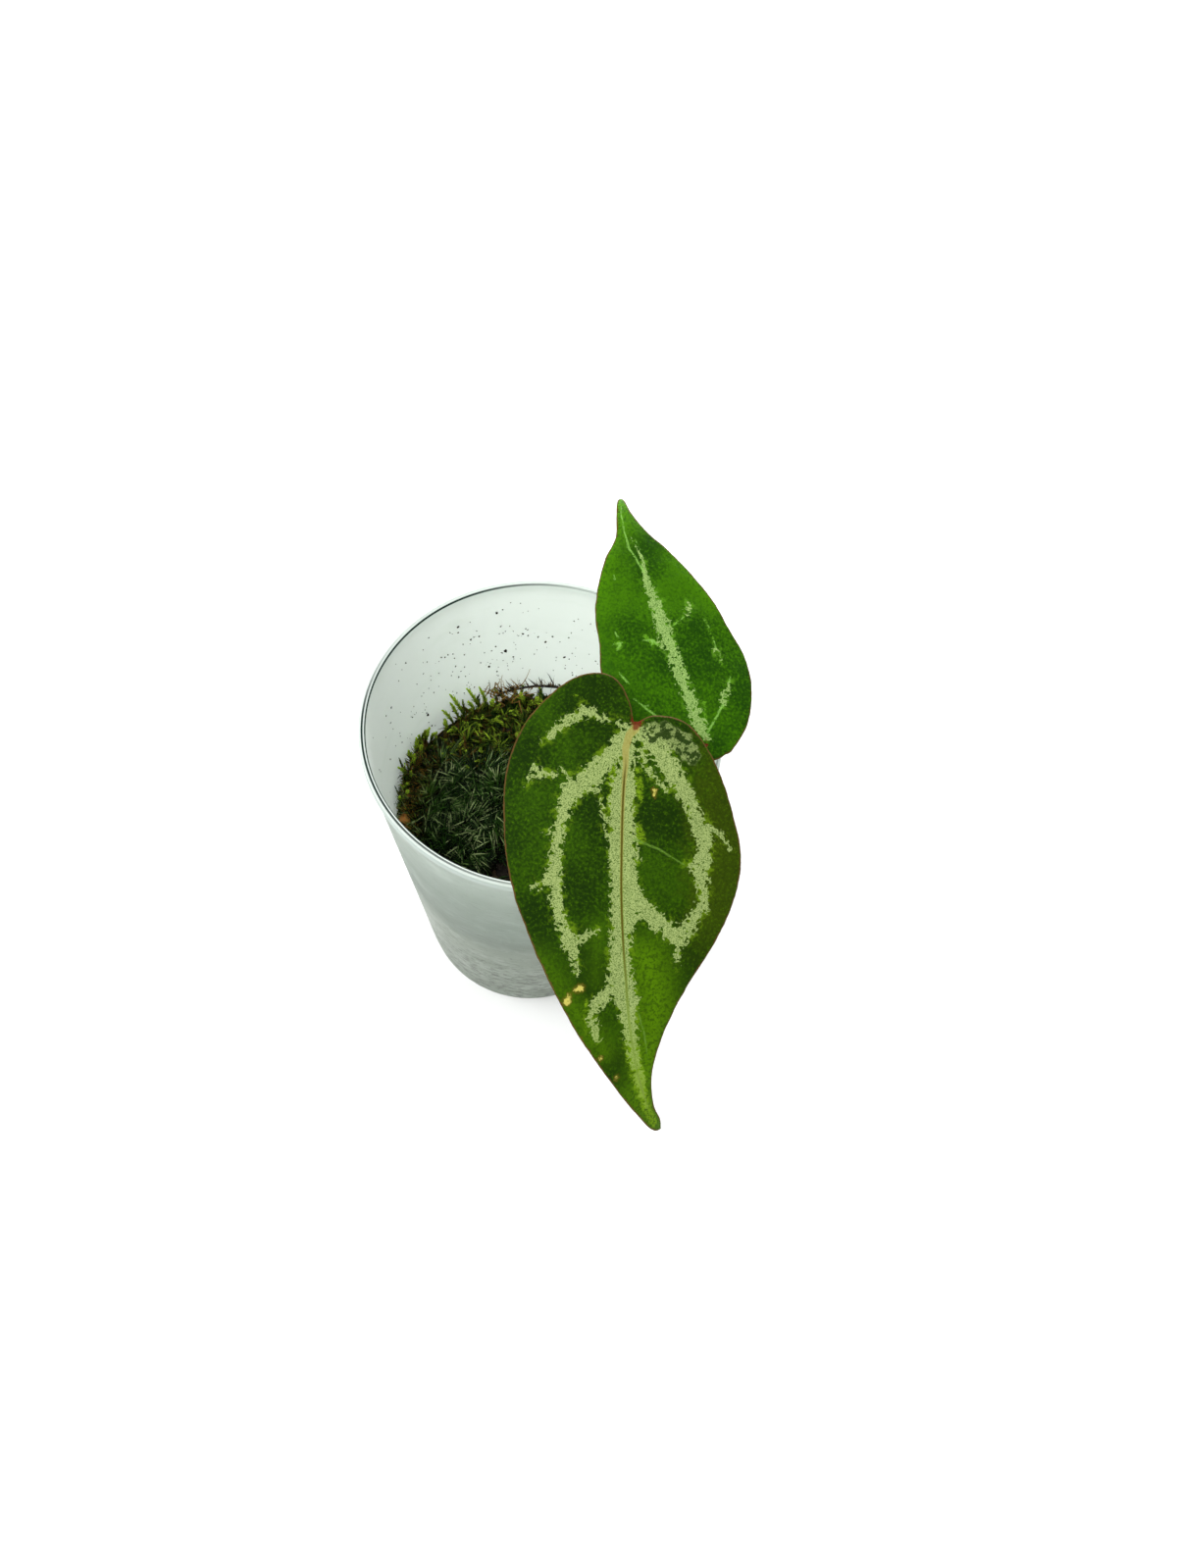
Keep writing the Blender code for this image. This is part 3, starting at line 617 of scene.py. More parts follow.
SMALL_MIDRIB = ((38.4, -10.5, 136), (25.8, 9.7, 144), (10.5, 37.2, 152), (11.3, 45.6, 148))
SMALL_DROOP = 0.009
SMALL_RIGHT = (
    (-1.6, -0.6), (-2.8, -1.7), (-5, -3), (-5.6, 0.2), (-5.2, 2.6), (-4.5, 5), (0, 11), (7.9, 15.5),
    (15.9, 17.1), (24, 15.6), (31.2, 14.4), (39, 11.8), (46.6, 8), (52.5, 4.5), (58.8, 2.1), (63.4, 0.9),
    (64.6, 0),
)
SMALL_LEFT = (
    (-1.6, -0.85), (-2.7, -2), (-4.5, -3.6), (-4.8, -4.9), (-4.2, -6.6), (0, -11.6), (8, -16), (16, -17.6),
    (22.2, -17), (28, -15.2), (34, -14), (40.7, -11.2), (47.3, -7.2), (52.3, -3.2), (58.3, -1.6),
    (63.4, -0.8), (64.6, 0),
)
SMALL_SILVER = (
    ((0, -0.2, 0.9), (3.5, -0.5, 1.6), (8.5, -0.2, 1.4), (18, -0.1, 1.4), (25.7, 0.1, 1.6), (33, 0.6, 1.4),
     (38.3, 0.5, 0.8), (43, 0.9, 0.65), (45, 1.3, 0.5), (48.5, 0.9, 0.3), (52, 0.2, 0.2)),
    ((23, -1, 0.5), (24, -2.2, 0.4)),
    ((28.9, 6.5, 0.4), (30.4, 7.8, 0.6), (31.9, 8.2, 0.4)),
    ((18.7, 10.3, 0.6), (17.1, 10.4, 0.5)),
    ((10.6, 10.4, 0.3), (8.6, 8.8, 0.5), (7, 7.6, 0.65), (5.6, 6.5, 0.4)),
)
SMALL_FRESH = (
    ((23.6, -1.8, 0.5), (24.8, -3.4, 0.5), (26.6, -4.8, 0.3)),
    ((27.6, -10.9, 0.5), (26.4, -11.4, 0.7)),
    ((27, 1.5, 0.35), (28.3, 5.8, 0.25)),
    ((26.8, 10.6, 0.15), (22.7, 10.8, 0.2), (15.1, 10.3, 0.2)),
    ((3, 1, 0.3), (8, 2.6, 0.3)),
)
SMALL_LINES = (
    ((61.4, -0.1, 0.12), (57, -0.5, 0.16), (52.8, -0.8, 0.16), (48.7, -1, 0.24), (47, -0.4, 0.18),
     (42, 0.6, 0.24)),
    ((48.8, -0.9, 0.2), (49.2, -1.5, 0.1)),
    ((50.6, 1.2, 0.1), (47.6, 1.5, 0.1)),
    ((29.6, -10.9, 0.12), (28.2, -10.7, 0.2)),
    ((27, -12.9, 0.1), (26.9, -10.9, 0.2), (26.8, -9.9, 0.12)),
    ((26.4, -10.8, 0.2), (25.5, -12.1, 0.14)),
    ((24, -2.6, 0.2), (25.3, -3.2, 0.25), (25.9, -5.6, 0.12)),
    ((25.2, -3.4, 0.2), (23.8, -4.2, 0.1)),
    ((27.3, 2.6, 0.12), (28.6, 5.9, 0.12)),
    ((26.6, 10.3, 0.08), (24.2, 10.9, 0.1)),
    ((22.2, 11, 0.1), (19.2, 10.5, 0.16)),
    ((11.9, 11.4, 0.12), (10.2, 10.2, 0.2)),
    ((5.8, 6.7, 0.25), (2.7, 2.9, 0.2), (0.9, 0.6, 0.25)),
    ((20.9, -13.4, 0.08), (18.8, -12.7, 0.24), (17.4, -12.1, 0.14)),
    ((14, -12.4, 0.1), (11.1, -10.9, 0.24), (7.8, -8.8, 0.2), (4, -5.4, 0.26), (0.8, -2.2, 0.3)),
    ((11.2, -10.9, 0.16), (11.3, -9.6, 0.08)),
    ((43.4, -6.5, 0.08), (41.7, -6.6, 0.14)),
)
SMALL_RIB = ((0.4, -0.2, 0.3), (20, 0, 0.18), (60, 0, 0.1))
# Painted light on the small blade, drawn the same way
SMALL_PAINTED_LIGHT = (
    ((36, -6, -4), (50, -2, -4)), ((22, -17, -2), (34, -14, -2), (47, -7, -1), (56, -2, 1), (64, 0, 2)),
    ((30, 14, -3), (46, 8, -3)),
)
# A band far off the blade, for marks that a blade lacks
NO_MARKS = (((-40, 0, 0.1), (-41, 0, 0.1)),)


class Blade:
    """Carries places on the flattened blade to places on the arched one."""

    def __init__(self, midrib, droop):
        share = np.linspace(0, 1, 200)[:, None]
        a, b, c, d = np.array(midrib, float)
        self.line = (1 - share) ** 3 * a + 3 * share * (1 - share) ** 2 * b
        self.line += 3 * share ** 2 * (1 - share) * c + share ** 3 * d
        steps = np.linalg.norm(np.diff(self.line, axis=0), axis=1)
        self.length = np.concatenate([[0], np.cumsum(steps)])
        self.slope = np.gradient(self.line, axis=0)
        self.droop = droop

    def read(self, table, along):
        """What a table of values along the midrib holds at these distances from the petiole."""
        return np.stack([np.interp(along, self.length, column) for column in table.T], axis=-1)

    def frame(self, along):
        """The midrib's point, and the directions ahead, out along the blade and off its face."""
        ahead = unit(self.read(self.slope, along))
        sideways = unit(np.cross(ahead, (0, 0, 1)))
        past = along - np.clip(along, 0, self.length[-1])
        middle = self.read(self.line, along) + ahead * past[..., None]
        return middle, ahead, sideways, np.cross(sideways, ahead)

    def place(self, along, out, lift):
        """A place, lifted off the blade's face by some millimetres."""
        middle, _, sideways, upwards = self.frame(along)
        rise = MIDRIB_FOLD * abs(out) - self.droop * out ** 2
        rise += WAVE_HEIGHT * (out / 20) ** 2 * np.sin(math.tau * along / WAVE_LENGTH)
        tilt = MIDRIB_FOLD * np.sign(out) * np.clip(abs(out), 0, 1) - 2 * self.droop * out
        face = unit(upwards - sideways * tilt[..., None])
        return middle + sideways * out[..., None] + upwards * rise[..., None] + face * lift[..., None]


def smooth_through(points, spacing):
    """Points about a spacing apart on a smooth curve through the given ones, both ends included."""
    points = [Vector(point).to_3d() for point in points]
    before = [points[0]] + points[:-1]
    after = points[1:] + [points[-1]]
    slopes = [(b - a) / 6 for a, b in zip(before, after)]
    found = [points[0]]
    for i in range(len(points) - 1):
        start, end = points[i], points[i + 1]
        steps = max(1, round((end - start).length / spacing))
        handles = start + slopes[i], end - slopes[i + 1]
        found += geometry.interpolate_bezier(start, *handles, end, steps + 1)[1:]
    return np.array(found)


def outside_band(places, courses):
    """How far each place lies outside the nearest of the bands, which is negative inside one."""
    nearest = np.full(len(places), 99.0)
    for course in courses:
        for start, end in zip(course, course[1:]):
            foot, step = np.array(start[:2]), np.subtract(end[:2], start[:2])
            share = np.clip((places - foot) @ step / (step @ step), 0, 1)
            gap = np.linalg.norm(places - foot - share[:, None] * step, axis=1)
            nearest = np.minimum(nearest, gap - start[2] - (end[2] - start[2]) * share)
    return nearest


def fill(rim, spacing):
    """Triangles that fill a closed outline, with its points first."""
    low, high = rim.min(axis=0), rim.max(axis=0)
    rows = np.arange(low[1], high[1], spacing * 0.87)
    grid = [(x + 0.5 * spacing * (row % 2), y) for row, y in enumerate(rows)
            for x in np.arange(low[0], high[0], spacing)]
    grid = np.array(grid)
    odd = np.zeros(len(grid), bool)
    for a, b in zip(rim, np.roll(rim, -1, axis=0)):
        spans = (a[1] > grid[:, 1]) != (b[1] > grid[:, 1])
        rise = b[1] - a[1] if abs(b[1] - a[1]) > 1e-12 else 1e-12
        odd ^= spans & (grid[:, 0] < a[0] + (grid[:, 1] - a[1]) * (b[0] - a[0]) / rise)
    grid = grid[odd]
    loop = [(*point, 0) for point in np.vstack([rim, rim[:1]])]
    grid = grid[outside_band(grid, [loop]) > spacing * 0.5]
    edges = [(i, (i + 1) % len(rim)) for i in range(len(rim))]
    flat = [Vector(point) for point in np.vstack([rim, grid])]
    points, _, faces, *_ = geometry.delaunay_2d_cdt(flat, edges, [], 1, 0.00001)
    return np.array([point[:] for point in points]), [list(face) for face in faces]


def leaf_shape(blade, left, right, bands):
    """The blade's closed skin, and at each point how far it lies from every band of marks on the leaf."""
    rim = np.vstack([smooth_through(left, 0.5), smooth_through(right, 0.5)[-2:0:-1]])[:, :2]
    ripple = [noise.fractal(Vector((x * 0.35, y * 0.35, 7)), 0.8, 2.0, 3) for x, y in rim]
    rim = rim + unit(rim - np.array((30, 0))) * np.reshape(ripple, (-1, 1)) * MARGIN_RIPPLE
    places, faces = fill(rim, BLADE_GRID)
    along, out = places.T
    marks = {mark: outside_band(places, courses) for mark, courses in bands.items()}
    marks["spine"] = out - np.interp(along, *np.array(bands["rib"][0])[:, :2].T)
    marks["margin"] = outside_band(places, [[(*point, 0) for point in np.vstack([rim, rim[:1]])]])
    marks.update(along=along, out=out)
    thin = np.clip(marks["margin"] / MARGIN_WIDTH, 0, 1)
    half = (MARGIN_THICKNESS + (BLADE_THICKNESS - MARGIN_THICKNESS) * np.sqrt(thin)) / 2
    laterals = [[(s, t, 0) for s, t, _ in course] for course in bands["silver"][1:] if len(course) > 4]
    vein = np.exp(-(np.maximum(outside_band(places, laterals), 0) / 1.5) ** 2)
    taper = np.clip(1 - along / blade.length[-1], 0.1, 1)
    trough = np.exp(-(out / (0.5 + 1.1 * taper)) ** 2) * taper
    swell = np.array([noise.fractal(Vector((x * 0.11, y * 0.11, 2)), 0.9, 2.0, 2) for x, y in places])
    pucker = np.array([noise.noise(Vector((x * 0.75, y * 0.75, 5))) for x, y in places])
    body = SWELL * swell * thin + PUCKER * pucker * thin
    dips = [(midrib * trough + side * vein) * thin for midrib, side in zip(MIDRIB_DEPTHS, VEIN_DEPTHS)]
    top = blade.place(along, out, half + body - dips[0])
    below = blade.place(along, out, body - half - dips[1])
    count, border = len(places), len(rim)
    faces += [[count + corner for corner in face[::-1]] for face in faces]
    for i in range(border):
        j = (i + 1) % border
        faces.append([i, count + i, count + j, j])
    marks = {name: np.tile(values, 2) for name, values in marks.items()}
    marks["below"] = np.repeat((0.0, 1.0), count)
    return np.vstack([top, below]), faces, marks


def face_outwards(piece):
    work = bmesh.new()
    work.from_mesh(piece.data)
    bmesh.ops.recalc_face_normals(work, faces=work.faces)
    work.to_mesh(piece.data)
    work.free()


RIB_TAN = srgb(158, 150, 78)
RIB_GREEN = srgb(118, 142, 58)
RIB_LINE = srgb(84, 76, 22)
MARGIN_BROWN = srgb(98, 68, 38)
SINUS_RED = srgb(104, 30, 22)
SCAR_YELLOW = srgb(206, 196, 96)
SCAR_EDGE = srgb(96, 84, 22)


def leaf_skin(name, deep, shade, bright, fresh_green, line_green, blush, pale_below, silver_dark,
              silver_pale, rib_shows, calm):
    """A recipe for a velvety blade, mottled in these greens. Its silver bands are ragged up to calm[0]
    along the blade, and smoother from calm[1]."""

    def recipe(place):
        broad = place.cloud(0.07, 3)
        coarse = place.cloud(0.5, 2, 0.5)
        fine = place.cloud(1.6, 3, 0.6)
        tiny = place.cloud(4.2, 3, 0.7)
        grain = place.cells(3.4)
        along, out, margin, silver = [place.mark(name) for name in ("along", "out", "margin", "silver")]
        flecks = fine * 0.7 + tiny * 0.7
        # Painted light: the blade turns towards its bright green where the light marks lie
        light = (place.mark("light") + (fine - 0.5) * 14).ramp(8, -2)
        olive = (out + (coarse - 0.5) * 12).ramp(-10, -18) * along.ramp(60, 40)
        teeth = abs(place.cloud(0.62, 2, 0.55) - 0.5) - 0.085
        ragged = teeth * 8.0 + (fine - 0.5) * 2.0 + (coarse - 0.5) * 2.0
        ragged = ragged * (along.ramp(calm[1], calm[0]) * 0.8 + 0.2) + 0.22
        halo = (silver + ragged).ramp(2.0, 0.1) * (coarse + flecks * 0.4).ramp(0.78, 0.95)
        fresh = (place.mark("fresh") + ragged * 0.6).ramp(0.3, -0.3) * flecks.ramp(0.55, 0.8)
        dots = (place.cells(0.55) + fine * 0.02).ramp(0.12, 0.07)
        mottled = (place.mark("mottled") + (coarse - 0.5) * 4).ramp(0.5, -0.2)
        green = layered((broad * 0.6 + fine * 0.5).ramp(0.42, 0.68).tint(shade, deep), (
            (light * (fine.ramp(0.4, 0.58) * 0.5 + 0.4), bright),
            (olive * 0.8, blush),
            (flecks.ramp(0.72, 0.96) * 0.45, bright),
            (flecks.ramp(0.72, 0.5) * 0.5, shade),
            ((halo * 0.5).most(fresh * 0.8), fresh_green),
            (dots * 0.7, silver_dark),
            (mottled * 0.8, shade),
        ))
        holes = (place.cloud(0.75, 3, 0.65) + margin.ramp(8, 1.5) * 0.03).ramp(0.515, 0.54)
        pits = (tiny + silver * 0.10).ramp(0.62, 0.68)
        pale = (tiny - grain * 0.25 + 0.1).ramp(0.26, 0.58).tint(silver_dark, silver_pale)
        pale = (along.ramp(56, 84) * 0.8).tint(pale, fresh_green)
        band = (silver + ragged).ramp(0.08, -0.08).most(mottled * 0.9)
        band = band * (1 - pits * 0.3) * (1 - mottled * holes * 0.92)
        rib = place.mark("rib") + (tiny - 0.5) * 0.3
        thread = (abs(place.mark("spine")) + (tiny - 0.5) * 0.15).ramp(0.3, 0.12)
        lines = place.mark("lines") + (fine - 0.5) * 0.8 + (tiny - 0.5) * 0.6 + 0.04
        knob = (rib + along * 0.9 + (fine - 0.5)).ramp(0.3, -0.3)
        scar = place.mark("blemish") + (tiny - 0.5) * 1.2 + (fine - 0.5) * 1.5
        edge = (margin + (fine - 0.5) * 0.5 + (coarse - 0.5) * 0.5).ramp(0.40, 0.16)
        sinus = edge * along.ramp(0.4, -0.8) * abs(out).ramp(1.8, 0.9)
        under = (place.mark("rib") * 0.6 + tiny * 0.4).ramp(1.2, -0.1).tint(pale_below, RIB_GREEN)
        colour = layered(green, (
            (band, pale),
            (rib.ramp(0.12, -0.10) * 0.8 * rib_shows, along.ramp(6, 46).tint(RIB_TAN, RIB_GREEN)),
            (thread * along.ramp(5, 13) * along.ramp(66, 40) * rib_shows, RIB_LINE),
            (lines.ramp(0.12, 0.0) * (fine.ramp(0.36, 0.56) * 0.4 + 0.5), line_green),
            (knob * 0.85, SINUS_RED),
            (scar.ramp(0.5, 0.1) * 0.55, SCAR_EDGE),
            (scar.ramp(0.05, -0.3) * 0.85, SCAR_YELLOW),
            (edge * 0.8, MARGIN_BROWN),
            (sinus * along.ramp(-2.4, -1.6), SINUS_RED),
            (place.mark("below"), layered(under, (
                (silver.ramp(0.6, -1.6) * 0.3, RIB_GREEN), (edge * 0.8, MARGIN_BROWN),
            ))),
        ))
        relief = grain * 0.5 + tiny * 0.5 + fine * 0.5 + rib.ramp(0.5, -0.1) * 0.5
        return {
            "Base Color": colour, "Roughness": tiny * 0.24 + 0.42, "Normal": relief.bump(0.45, 0.28),
            "Specular IOR Level": 0.02,
        }

    recipe.__name__ = name
    return recipe


large_blade = Blade(LARGE_MIDRIB, LARGE_DROOP)
small_blade = Blade(SMALL_MIDRIB, SMALL_DROOP)
large_skin = leaf_skin(
    "velvet_blade", deep=srgb(44, 76, 4), shade=srgb(22, 44, 4), bright=srgb(86, 128, 5),
    fresh_green=srgb(122, 158, 24), line_green=srgb(96, 132, 46), blush=srgb(52, 68, 6),
    pale_below=srgb(90, 120, 50), silver_dark=srgb(52, 82, 18), silver_pale=srgb(160, 178, 108),
    rib_shows=1.0, calm=(74, 94),
)
small_skin = leaf_skin(
    "young_blade", deep=srgb(58, 106, 6), shade=srgb(28, 64, 6), bright=srgb(84, 144, 6),
    fresh_green=srgb(112, 172, 40), line_green=srgb(136, 190, 84), blush=srgb(40, 84, 8),
    pale_below=srgb(96, 132, 54), silver_dark=srgb(52, 94, 20), silver_pale=srgb(158, 192, 108),
    rib_shows=0.0, calm=(36, 44),
)
large_finish = make_finish(large_skin, (0.06, srgb(110, 160, 10)))
small_finish = make_finish(small_skin, (0.08, srgb(120, 180, 15)))
large_shape = leaf_shape(large_blade, LARGE_LEFT, LARGE_RIGHT, {
    "silver": LARGE_SILVER, "mottled": LARGE_MOTTLED, "fresh": LARGE_FRESH, "lines": LARGE_LINES,
    "blemish": LARGE_BLEMISHES, "rib": [LARGE_RIB], "light": LARGE_PAINTED_LIGHT,
})
small_shape = leaf_shape(small_blade, SMALL_RIGHT, SMALL_LEFT, {
    "silver": SMALL_SILVER, "mottled": NO_MARKS, "fresh": SMALL_FRESH, "lines": SMALL_LINES,
    "blemish": NO_MARKS, "rib": [SMALL_RIB], "light": SMALL_PAINTED_LIGHT,
})
face_outwards(add_piece("large_leaf", [large_shape], large_finish, ["blade_large"]))
face_outwards(add_piece("small_leaf", [small_shape], small_finish, ["blade_small"]))


# The petioles: each blade's round green stalk. It grows from the crown, leans out to the blade and
# swells to a knee just under it, where it turns from green to brown.
PETIOLE_RADIUS = 1.35
PETIOLE_SIDES = 28
PETIOLE_SEAT = 1.3
PETIOLE_GAP = 0.3
# Where each stands on the crown, and how its middle bows out of the straight
LARGE_STALK = ((10.9, -3.2), (0.5, 2.5, 0))
SMALL_STALK = ((13.3, -0.9), (1.5, -1.0, 0))


def petiole(blade, base, lean):
    """The stalk of a blade, from its base on the crown to just under the blade."""
    middle, _, _, upwards = blade.frame(np.array(PETIOLE_SEAT))
    seat = middle - upwards * (BLADE_THICKNESS / 2 + PETIOLE_GAP)
    start = np.array((*base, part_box("petiole_large")[0].z / MM))
    lean = np.array(lean)
    knots = [start, start + (0, 0, 1.5), start + (0, 0, 7), start + (seat - start) * 0.45 + lean]
    knots += [start + (seat - start) * 0.75 + lean * 0.8]
    knots += [seat - upwards * 4.5, seat - upwards, seat + upwards * 0.3]
    course = smooth_through(knots, 0.7)
    length = np.linalg.norm(seat - start)
    below = np.linalg.norm(course - seat, axis=1)
    knee = np.exp(-((below - 3) / 2.4) ** 2)
    foot = np.exp(-(length - below) / 9)
    radii = PETIOLE_RADIUS * (0.82 + 0.30 * knee + 0.28 * foot)
    turns = np.linspace(0, math.tau, PETIOLE_SIDES, endpoint=False)
    ribs = 1 + 0.03 * np.cos(7 * turns) + 0.02 * np.cos(3 * turns + 1)
    points, faces = stalk(course, radii[:, None] * ribs, PETIOLE_SIDES)
    return points, faces, {"below": np.repeat(below, PETIOLE_SIDES)}


PETIOLE_GREEN = srgb(92, 118, 48)
PETIOLE_FLUSH = srgb(122, 84, 54)
PETIOLE_FLECK = srgb(168, 176, 110)
KNEE_TAN = srgb(158, 118, 76)


def petiole_skin(place):
    below = place.mark("below")
    streak = place.stretched(1.6, 1.6, 0.12).cloud(1.0, 4, 0.65)
    flecks = place.stretched(1, 1, 0.5).cells(1.4)
    colour = layered(streak.ramp(0.35, 0.7).tint(PETIOLE_GREEN, PETIOLE_FLUSH), (
        (flecks.ramp(0.16, 0.1) * 0.5, PETIOLE_FLECK),
        (below.ramp(9, 3) * 0.85, KNEE_TAN),
        (below.ramp(1.6, 0.4) * 0.6, SINUS_RED),
    ))
    return grown(colour, streak, (0.3, 0.3), (0.4, 0.2), 0.5)


petiole_finish = make_finish(petiole_skin)
large_stalk = [petiole(large_blade, *LARGE_STALK)]
small_stalk = [petiole(small_blade, *SMALL_STALK)]
add_piece("stalk_large", large_stalk, petiole_finish, ["petiole_large"])
add_piece("stalk_small", small_stalk, petiole_finish, ["petiole_small"])


# The cushion moss: a dark, dense mat on the left and in front. Each shoot is a star of stiff needle leaves
# with pale tips, partly dried and partly a painted highlight, and the shoots stand on a felt of old brown
# stems, painted near black with the shade down among them.
CUSHION = (np.array((-22.5, -7)), (16, 24), -1)
MATS_PART_AT = 11.5
MATS_PART_SLOPE = -0.1
MAT_GAP = 0.5
MAT_HEIGHT = 5.6
MAT_EDGE = 2.2
MAT_SPOKES = 90
SPIRAL_TURN = 2.4
FELT_RINGS = 26
DEAD_LEAVES = 1500
STAR_COUNT = 190
STAR_GAP = 1.6
STAR_NEEDLES = 21
NEEDLE_WIDTH = (0.38, 0.58)
NEEDLE_REACH = (6, 8.5)
TUFT_WIDTH = 6.5
NEAR_WALL = 34
# The front corner, where the shoots are dark and short
BARE_CORNER = (-14, -12)
BARE_REACH = (3, 5)
# Behind a slanting line the feather moss spills over this mat, and it has no shoots of its own
SPILL_BACK = 8.5
SPILL_SLOPE = 0.2
SPILL_LEFT = -30
# Shoots that fill the corners by the wall: (x, y, share)
CORNER_STARS = [
    (-35.5, 6.5, 0.8), (-36, 3.5, 0.8), (-36.2, 0, 0.8),
    (-10, -26, 0.9), (-7.5, -23.5, 0.9), (-12.5, -29, 0.9), (-5.5, -27, 0.9), (-9, -30, 0.9),
    (-4, -31, 0.95),
]
# Middles of the tufts that the shoots lean out from
TUFTS = (
    (-16.9, 4.9), (-25.2, -0.6), (-19.6, -11.7), (-30.2, -6.9), (-27.5, -14.4), (-12.7, -4), (-34.5, 4.5),
    (-28.5, 5.2), (-10, -12.8), (-21.7, -20), (-10, 3.5), (-4, -8), (-11, -22),
)


def bearing(turn):
    """The level way, in x and y, at this angle from x."""
    return np.array((math.cos(turn), math.sin(turn)))


def mat_reach(mat, turn):
    """How far a mat spreads from its centre in one direction: to its round edge, the wall or the other
    mat. A mat is (its centre, its reach across and back, -1 in front of the line between mats or 1
    behind it)."""
    centre, reach, side = mat
    way = bearing(turn)
    own = 1 / math.hypot(way[0] / reach[0], way[1] / reach[1])
    limit = bore_radius(SOIL_LEVEL) - MAT_GAP
    inward = centre @ way
    wall = -inward + math.sqrt(inward * inward - centre @ centre + limit * limit)
    edge = MATS_PART_AT + MATS_PART_SLOPE * centre[0] - centre[1] + side * MAT_GAP
    closing = way[1] - MATS_PART_SLOPE * way[0]
    line = edge / closing if closing * edge > 0 else own
    return min(own, wall, line)


def mat_top(x, y, share):
    """Height of a mat's felt, from its middle at share 0 to its edge at share 1."""
    rise = MAT_EDGE + (MAT_HEIGHT - MAT_EDGE) * math.sqrt(max(0, 1 - share ** 3))
    return soil_height(x, y) + 0.45 + rise


def felt(mat, lump):
    """The low mat of old stems that the shoots stand on."""
    turns = np.linspace(0, math.tau, MAT_SPOKES, endpoint=False)
    far = np.array([mat_reach(mat, turn) for turn in turns])
    way = np.column_stack([np.cos(turns), np.sin(turns)])
    rings = []
    for share in (0.99, 1.0):
        flat = mat[0] + way * (far * share)[:, None]
        rings.append(np.column_stack([flat, soil_height(flat[:, 0], flat[:, 1]) + 0.4]))
    for share in np.linspace(1.0, 0.02, FELT_RINGS):
        flat = mat[0] + way * (far * share)[:, None]
        tops = [mat_top(x, y, share) + lump * noise.noise(Vector((x, y, 3)) * 0.9) for x, y in flat]
        rings.append(np.column_stack([flat, np.array(tops) - 0.8]))
    return marked(skin_over(rings), tipward=-0.5)


def keep_inside(points, gap=0.6):
    """Presses points back from the tumbler's wall."""
    out = np.hypot(points[..., 0], points[..., 1])
    limit = bore_radius(points[..., 2]) - gap
    points[..., :2] *= np.minimum(1, limit / np.maximum(out, 1))[..., None]
    return points


def needles(feet, ways, falls, lengths, widths, hues, profile=(0.75, 1.0, 0.8, 0.5), gap=0.6):
    """Slender leaves of three flats: each leaves its foot along a way and bends towards its fall."""
    share = np.linspace(0, 1, len(profile) + 1)
    spans = np.reshape(lengths, (-1, 1, 1)) * share[None, :, None]
    middle = feet[:, None] + ways[:, None] * spans + falls[:, None] * spans * share[None, :, None]
    across = unit(np.cross(ways, falls + 1e-4))[:, None]
    under = unit(np.cross(across[:, 0], ways))[:, None]
    half = np.reshape(widths, (-1, 1, 1)) / 2 * np.array(profile)[None, :, None]
    body = middle[:, :-1]
    corners = [body - across * half, body + under * half * 0.45, body + across * half]
    rings = np.stack(corners, axis=2).reshape(len(feet), -1, 3)
    points = np.concatenate([rings, middle[:, -1:]], axis=1)
    each = points.shape[1]
    last = each - 4
    pattern = [[2, 1, 0]]
    for low in range(0, last, 3):
        for i in range(3):
            j = (i + 1) % 3
            pattern.append([low + i, low + j, low + 3 + j])
            pattern.append([low + i, low + 3 + j, low + 3 + i])
    pattern += [[last + i, last + (i + 1) % 3, each - 1] for i in range(3)]
    faces = np.array(pattern)[None] + (np.arange(len(feet)) * each)[:, None, None]
    tipward = np.append(np.repeat(share[:-1], 3), 1.0)
    marks = {"tipward": np.tile(tipward, len(feet)), "hue": np.repeat(hues, each)}
    return keep_inside(points, gap), faces.reshape(-1, 3).tolist(), marks


def mat_places(mat, count, draw, spacing):
    """Feet for shoots, spread evenly over a mat: (x, y, share of the way to its edge)."""
    found = []
    tries = 0
    while len(found) < count and tries < count * 60:
        tries += 1
        turn = draw.uniform(0, math.tau)
        share = math.sqrt(draw.uniform(0, 0.93))
        x, y = mat[0] + mat_reach(mat, turn) * share * bearing(turn)
        if all(math.hypot(x - a, y - b) > spacing for a, b, _ in found):
            found.append((x, y, share))
    return found


def leaning(lean, rise=1.0):
    """A way that leans over while it rises."""
    return unit(np.array((*lean, rise)))


def spiral(ahead, hint, count, draw):
    """Outward ways for leaves that leave a stem one after another; hint is a way it never takes."""
    turns = np.arange(count) * SPIRAL_TURN + draw.uniform(0, 6)
    side = unit(np.cross(ahead, hint))
    front = np.cross(side, ahead)
    return side * np.cos(turns)[:, None] + front * np.sin(turns)[:, None]


def star(foot, axis, count, reach, draw, hue, open_out):
    """One shoot seen from above: needles in a spiral, the lower ones wide open and the top ones upright."""
    outward = spiral(axis, (1, 0.2, 0), count, draw)
    rank = np.linspace(0, 1, count)
    spread = open_out * (1 - 0.75 * rank) + draw.normal(0, 0.1, count)
    ways = unit(axis * np.cos(spread)[:, None] + outward * np.sin(spread)[:, None])
    falls = outward * draw.uniform(-0.1, 0.25, (count, 1)) + draw.normal(0, 0.08, (count, 3))
    falls += axis * (0.85, 0.85, 0) - (0, 0, 0.2)
    feet = foot + axis * (rank * 2.4)[:, None]
    lengths = reach * draw.uniform(0.7, 1.1, count) * (1 - 0.3 * rank)
    hues = np.clip(hue + draw.normal(0, 0.2, count), 0, 1)
    return needles(feet, ways, falls, lengths, draw.uniform(*NEEDLE_WIDTH, count), hues)


